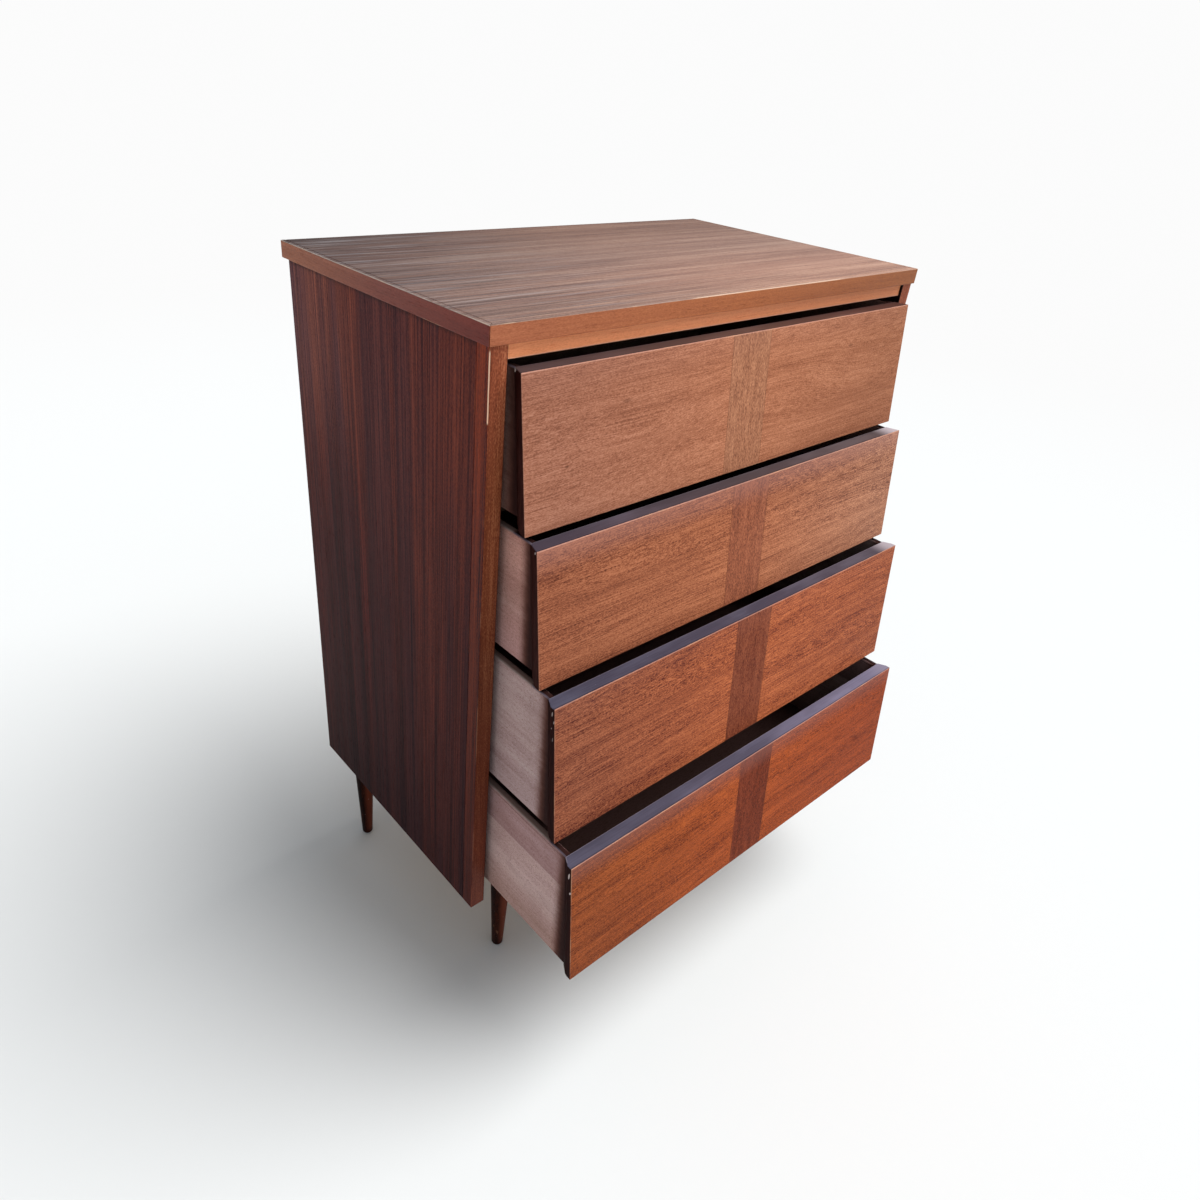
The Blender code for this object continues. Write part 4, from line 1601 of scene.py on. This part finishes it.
@dataclass
class Studio:
    """The pale floor, the soft light and the camera."""

    camera_place: Place = (-0.91048, -0.80801, 1.28151)
    azimuth: float = -0.75037
    elevation: float = 0.54920
    roll: float = 0.08831
    lens: float = 25.66
    sensor_width: float = 36.0
    shift_x: float = 0.0352
    shift_y: float = -0.0043
    floor_radius: float = 40.0
    floor_sides: int = 96
    floor_albedo: Colour = share(0.8, 0.82, 0.83)
    floor_dark: Colour = share(0.6, 0.6, 0.6)
    floor_grit: Grain = Grain(0.02, 0.02, 3.0)
    floor_grit_share: float = 0.03
    fade_start: float = 1.6
    fade_end: float = 5.0
    backdrop: float = 0.97
    fill: float = 0.44
    fill_lean_share: float = 0.6
    fill_colour: Colour = share(0.95, 0.975, 1.0)
    towards_light: Place = (0.79, -0.61, 0.0)
    key_elevation: float = math.radians(59)
    key_angle: float = math.radians(45)
    key_strength: float = 3.0
    key_colour: tuple[float, float, float] = (1.0, 0.985, 0.96)

    def add_camera(self) -> None:
        """Places the camera at the photograph's angle."""
        data = bpy.data.cameras.new("camera")
        data.sensor_width = self.sensor_width
        data.lens = self.lens
        data.shift_x = self.shift_x
        data.shift_y = self.shift_y
        camera = bpy.data.objects.new("camera", data)
        sine, cosine = math.sin(self.azimuth), math.cos(self.azimuth)
        flat = math.cos(self.elevation)
        forward = Vector((-sine * flat, cosine * flat, -math.sin(self.elevation)))
        level = Vector((cosine, sine, 0.0))
        upright = level.cross(forward)
        right = math.cos(self.roll) * level + math.sin(self.roll) * upright
        up = math.cos(self.roll) * upright - math.sin(self.roll) * level
        turn = Matrix((right, up, -forward)).transposed().to_4x4()
        camera.matrix_world = Matrix.Translation(self.camera_place) @ turn
        bpy.context.scene.collection.objects.link(camera)
        bpy.context.scene.camera = camera

    def add_floor(self) -> None:
        """Lays the floor, which fades into the backdrop far from the dresser."""
        build = bmesh.new()
        bmesh.ops.create_circle(build, cap_ends=True, segments=self.floor_sides, radius=self.floor_radius)
        mesh = bpy.data.meshes.new("floor")
        build.to_mesh(mesh)
        build.free()
        graph = Graph("floor_finish")
        far = graph.x.distance(graph.y).ramp(self.fade_start, self.fade_end)
        haze = graph.node("ShaderNodeEmission", inputs={"Color": WHITE, "Strength": self.backdrop})
        grit = graph.grain(self.floor_grit, Axis.X) * self.floor_grit_share
        colour = graph.mix(grit, self.floor_albedo, self.floor_dark)
        plain = graph.node("ShaderNodeBsdfDiffuse", inputs={"Color": colour})
        mixed = graph.node("ShaderNodeMixShader", inputs={0: far, 1: plain.outputs[0], 2: haze.outputs[0]})
        graph.node("ShaderNodeOutputMaterial", inputs={"Surface": mixed.outputs[0]})
        mesh.materials.append(graph.material)
        floor = bpy.data.objects.new("floor", mesh)
        bpy.context.scene.collection.objects.link(floor)

    def add_key(self) -> None:
        """Sets one soft parallel light to the right of the camera."""
        data = bpy.data.lights.new("key", "SUN")
        data.energy = self.key_strength
        data.angle = self.key_angle
        data.color = self.key_colour
        key = bpy.data.objects.new("key", data)
        level = Vector(self.towards_light).normalized() * math.cos(self.key_elevation)
        way = level + Vector((0.0, 0.0, math.sin(self.key_elevation)))
        key.matrix_world = (-way).to_track_quat("-Z", "Y").to_matrix().to_4x4()
        bpy.context.scene.collection.objects.link(key)

    def add_fill(self) -> None:
        """Fills the room with pale light, more from the key's side, and shows the camera a plain backdrop."""
        world = bpy.data.worlds.new("studio")
        world.use_nodes = True
        room = Tree(world.node_tree)
        way = room.node("ShaderNodeTexCoord").outputs["Generated"]
        towards = Vector(self.towards_light) * self.fill * self.fill_lean_share
        lean = room.node("ShaderNodeVectorMath", {"operation": "DOT_PRODUCT"}, {0: way, 1: towards})
        total = room.node("ShaderNodeMath", {"operation": "ADD"}, {0: lean.outputs["Value"], 1: self.fill})
        lit = {"Color": self.fill_colour, "Strength": total.outputs[0]}
        filling = room.node("ShaderNodeBackground", inputs=lit)
        shown = room.node("ShaderNodeBackground", inputs={"Color": WHITE, "Strength": self.backdrop})
        seen = room.node("ShaderNodeLightPath").outputs["Is Camera Ray"]
        shaders = {0: seen, 1: filling.outputs[0], 2: shown.outputs[0]}
        mixed = room.node("ShaderNodeMixShader", inputs=shaders)
        room.node("ShaderNodeOutputWorld", inputs={"Surface": mixed.outputs[0]})
        bpy.context.scene.world = world

    def build(self) -> None:
        """Sets up the studio."""
        self.add_camera()
        self.add_floor()
        self.add_key()
        self.add_fill()
        bpy.context.scene.view_settings.view_transform = "Standard"
        bpy.context.scene.view_settings.look = "None"


def face_wood(middle: Colour, dark: Colour, light: Colour, shift: Place) -> Wood:
    """Chooses the face veneer of one front.

    Args:
        middle: Its main colour.
        dark: The colour of its dark lines.
        light: The colour of its light lines.
        shift: Where in the log it was cut, which sets its figure.

    Returns:
        The veneer.
    """
    return Wood(dark=dark, middle=middle, light=light, axis=Axis.X, shift=shift, wander=0.05, roughness=0.4)


def tone_and_sheen_across(left: Colour, middle: Colour, right: Colour) -> dict[float, Colour]:
    """Gives a front's tints from its left end to its right end: partly its own tone, partly painted sheen and
    shade.
    """
    return {-0.33: left, 0.0: middle, 0.33: right}


def drawer_faces() -> list[DrawerFace]:
    """Lists the four fronts, from the top one down.

    Returns:
        The look of each front.
    """
    cross = Wood(
        dark=screen(124, 78, 61), middle=screen(168, 111, 84), light=screen(196, 138, 107), axis=Axis.Z,
        streak_wide=0.01, streak_share=0.5, line_wide=0.004, line_share=0.6, wander=0.004,
    )
    first = DrawerFace(
        number=1,
        veneer=face_wood(screen(177, 113, 84), screen(144, 88, 65), screen(201, 137, 107), (0.0, 0.0, 0.0)),
        band=cross,
        paint=Paint(screen(91, 66, 59), screen(127, 99, 94)),
        tints=tone_and_sheen_across(share(0.8, 0.85, 0.95), share(1.0, 1.0, 0.95), share(0.8, 0.8, 0.75)),
        strip_tints=tone_and_sheen_across(share(0.65, 0.75, 0.9), WHITE, share(0.85, 0.7, 0.7)),
        end_tint=share(1.0, 1.0, 1.05),
        knots=[
            Knot(-0.222, 0.9675),
            Knot(0.229, 0.9765, 0.007, 0.003),
            Knot(-0.3124, 0.9092, 0.004, 0.0018, 0.6),
            Knot(-0.164, 0.914, 0.03, 0.01, 0.0),
            Knot(0.27, 0.9, 0.045, 0.014, 0.0),
        ],
        chips=[Chip(-1, 0.002, 0.018, 0.003, 0.003)],
        top_sheen_share=0.06,
    )
    second = DrawerFace(
        number=2,
        veneer=face_wood(screen(169, 116, 87), screen(112, 71, 58), screen(206, 152, 116), (3.1, 0.0, 0.7)),
        band=cross.dyed(screen(103, 68, 58), screen(157, 106, 83), screen(185, 131, 102)),
        paint=Paint(screen(81, 69, 72), screen(120, 106, 112)),
        tints=tone_and_sheen_across(share(0.7, 0.5, 0.45), share(0.9, 0.65, 0.55), share(0.95, 0.9, 0.95)),
        strip_tints=tone_and_sheen_across(share(0.75, 0.8, 1.0), share(0.9, 0.9, 0.9), share(1.0, 1.0, 0.95)),
        end_tint=share(1.05, 1.05, 1.1),
        knots=[
            Knot(-0.21, 0.7575, 0.03, 0.009, 0.0),
            Knot(0.115, 0.793, 0.03, 0.007, 0.0),
            Knot(0.31, 0.71, 0.03, 0.012, 0.0),
        ],
        chips=[Chip(-1, 0.004, 0.005, 0.0016, 0.0012)],
        corner_highlight_share=0.6,
        top_sheen_share=0.26,
    )
    third = DrawerFace(
        number=3,
        veneer=face_wood(screen(172, 91, 57), screen(100, 42, 34), screen(212, 122, 78), (5.7, 0.0, 1.9)),
        band=cross.dyed(screen(87, 41, 31), screen(129, 65, 45), screen(157, 88, 61)),
        paint=Paint(screen(80, 72, 82), screen(118, 112, 124)),
        tints=tone_and_sheen_across(share(0.6, 0.7, 0.9), share(0.95, 0.95, 0.9), share(0.85, 0.9, 0.95)),
        strip_tints=tone_and_sheen_across(share(0.75, 0.85, 1.0), share(0.85, 0.9, 1.0), WHITE),
        end_tint=share(0.65, 0.39, 0.38),
        knots=[Knot(-0.25, 0.57, 0.06, 0.012, 0.0), Knot(0.25, 0.5, 0.05, 0.01, 0.0)],
        chips=[
            Chip(-1, 0.009, 0.0045, 0.0036, 0.001, 0.55),
            Chip(-1, 0.019, 0.0015, 0.0022, 0.0008, 0.5),
            Chip(-1, 0.03, 0.006, 0.0014, 0.0007, 0.5),
            Chip(-1, 0.045, 0.004, 0.003, 0.0007, 0.3),
        ],
        corner_highlight_share=0.5,
        top_sheen_share=0.04,
    )
    fourth = DrawerFace(
        number=4,
        veneer=face_wood(screen(154, 68, 34), screen(90, 32, 19), screen(196, 93, 47), (8.3, 0.0, 2.6)),
        band=cross.dyed(screen(72, 25, 15), screen(113, 45, 28), screen(143, 63, 42)),
        paint=Paint(screen(120, 115, 138), screen(168, 164, 195)),
        tints=tone_and_sheen_across(share(0.7, 0.9, 0.9), share(0.95, 1.0, 0.7), share(0.8, 0.75, 0.6)),
        strip_tints=tone_and_sheen_across(share(0.35, 0.35, 0.35), share(0.45, 0.45, 0.45), share(0.95, 0.95, 0.95)),
        end_tint=share(0.64, 0.38, 0.37),
        knots=[Knot(-0.1, 0.33, 0.06, 0.009, 0.0), Knot(0.2, 0.37, 0.05, 0.008, 0.0)],
        chips=[Chip(-1, 0.0155, 0.0045, 0.0052, 0.0013), Chip(-1, 0.0425, 0.002, 0.0024, 0.0014)],
        corner_highlight_share=0.1,
        top_sheen_share=0.18,
    )
    return [first, second, third, fourth]


def drawer_boxes() -> list[DrawerBox]:
    """Lists the four boxes, from the top one down.

    Returns:
        The look of each box.
    """
    warm = PALE_BOX.dyed(screen(164, 112, 100), screen(210, 158, 145), screen(235, 188, 174))
    return [
        DrawerBox(1, {0.1: share(0.84, 0.7, 0.62), 0.9: share(0.94, 0.8, 0.72)}),
        DrawerBox(2, {0.1: share(0.82, 0.88, 0.99), 0.5: share(0.82, 0.87, 0.91), 0.9: WHITE}, warm),
        DrawerBox(3, {0.1: share(0.88, 0.92, 0.97), 0.6: share(0.93, 0.98, 1.0)}),
        DrawerBox(4, {0.15: share(0.76, 0.71, 0.67), 0.45: share(0.97, 0.99, 1.0)}, upper_zone=0.057),
    ]


def main() -> None:
    """Dresses the whole piece and sets up the studio."""
    logging.basicConfig(level=logging.INFO, format="%(message)s")
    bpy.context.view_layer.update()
    Studio().build()
    board = Board().material("back_board_finish")
    # the drawer boards' colour is darkened in part as painted shade for the drawers' insides
    thin = Board(screen(106, 78, 73), screen(80, 56, 52)).material("drawer_board_finish")
    steel = Steel().material("nail_steel")
    Top().build()
    Case().build(board, steel)
    for face, box in zip(drawer_faces(), drawer_boxes()):
        face.build()
        box.build(thin, steel)
    for end in ("front", "back"):
        for hand in ("left", "right"):
            TurnedLeg(f"leg_{end}_{hand}").build()


if __name__ == "__main__":
    main()
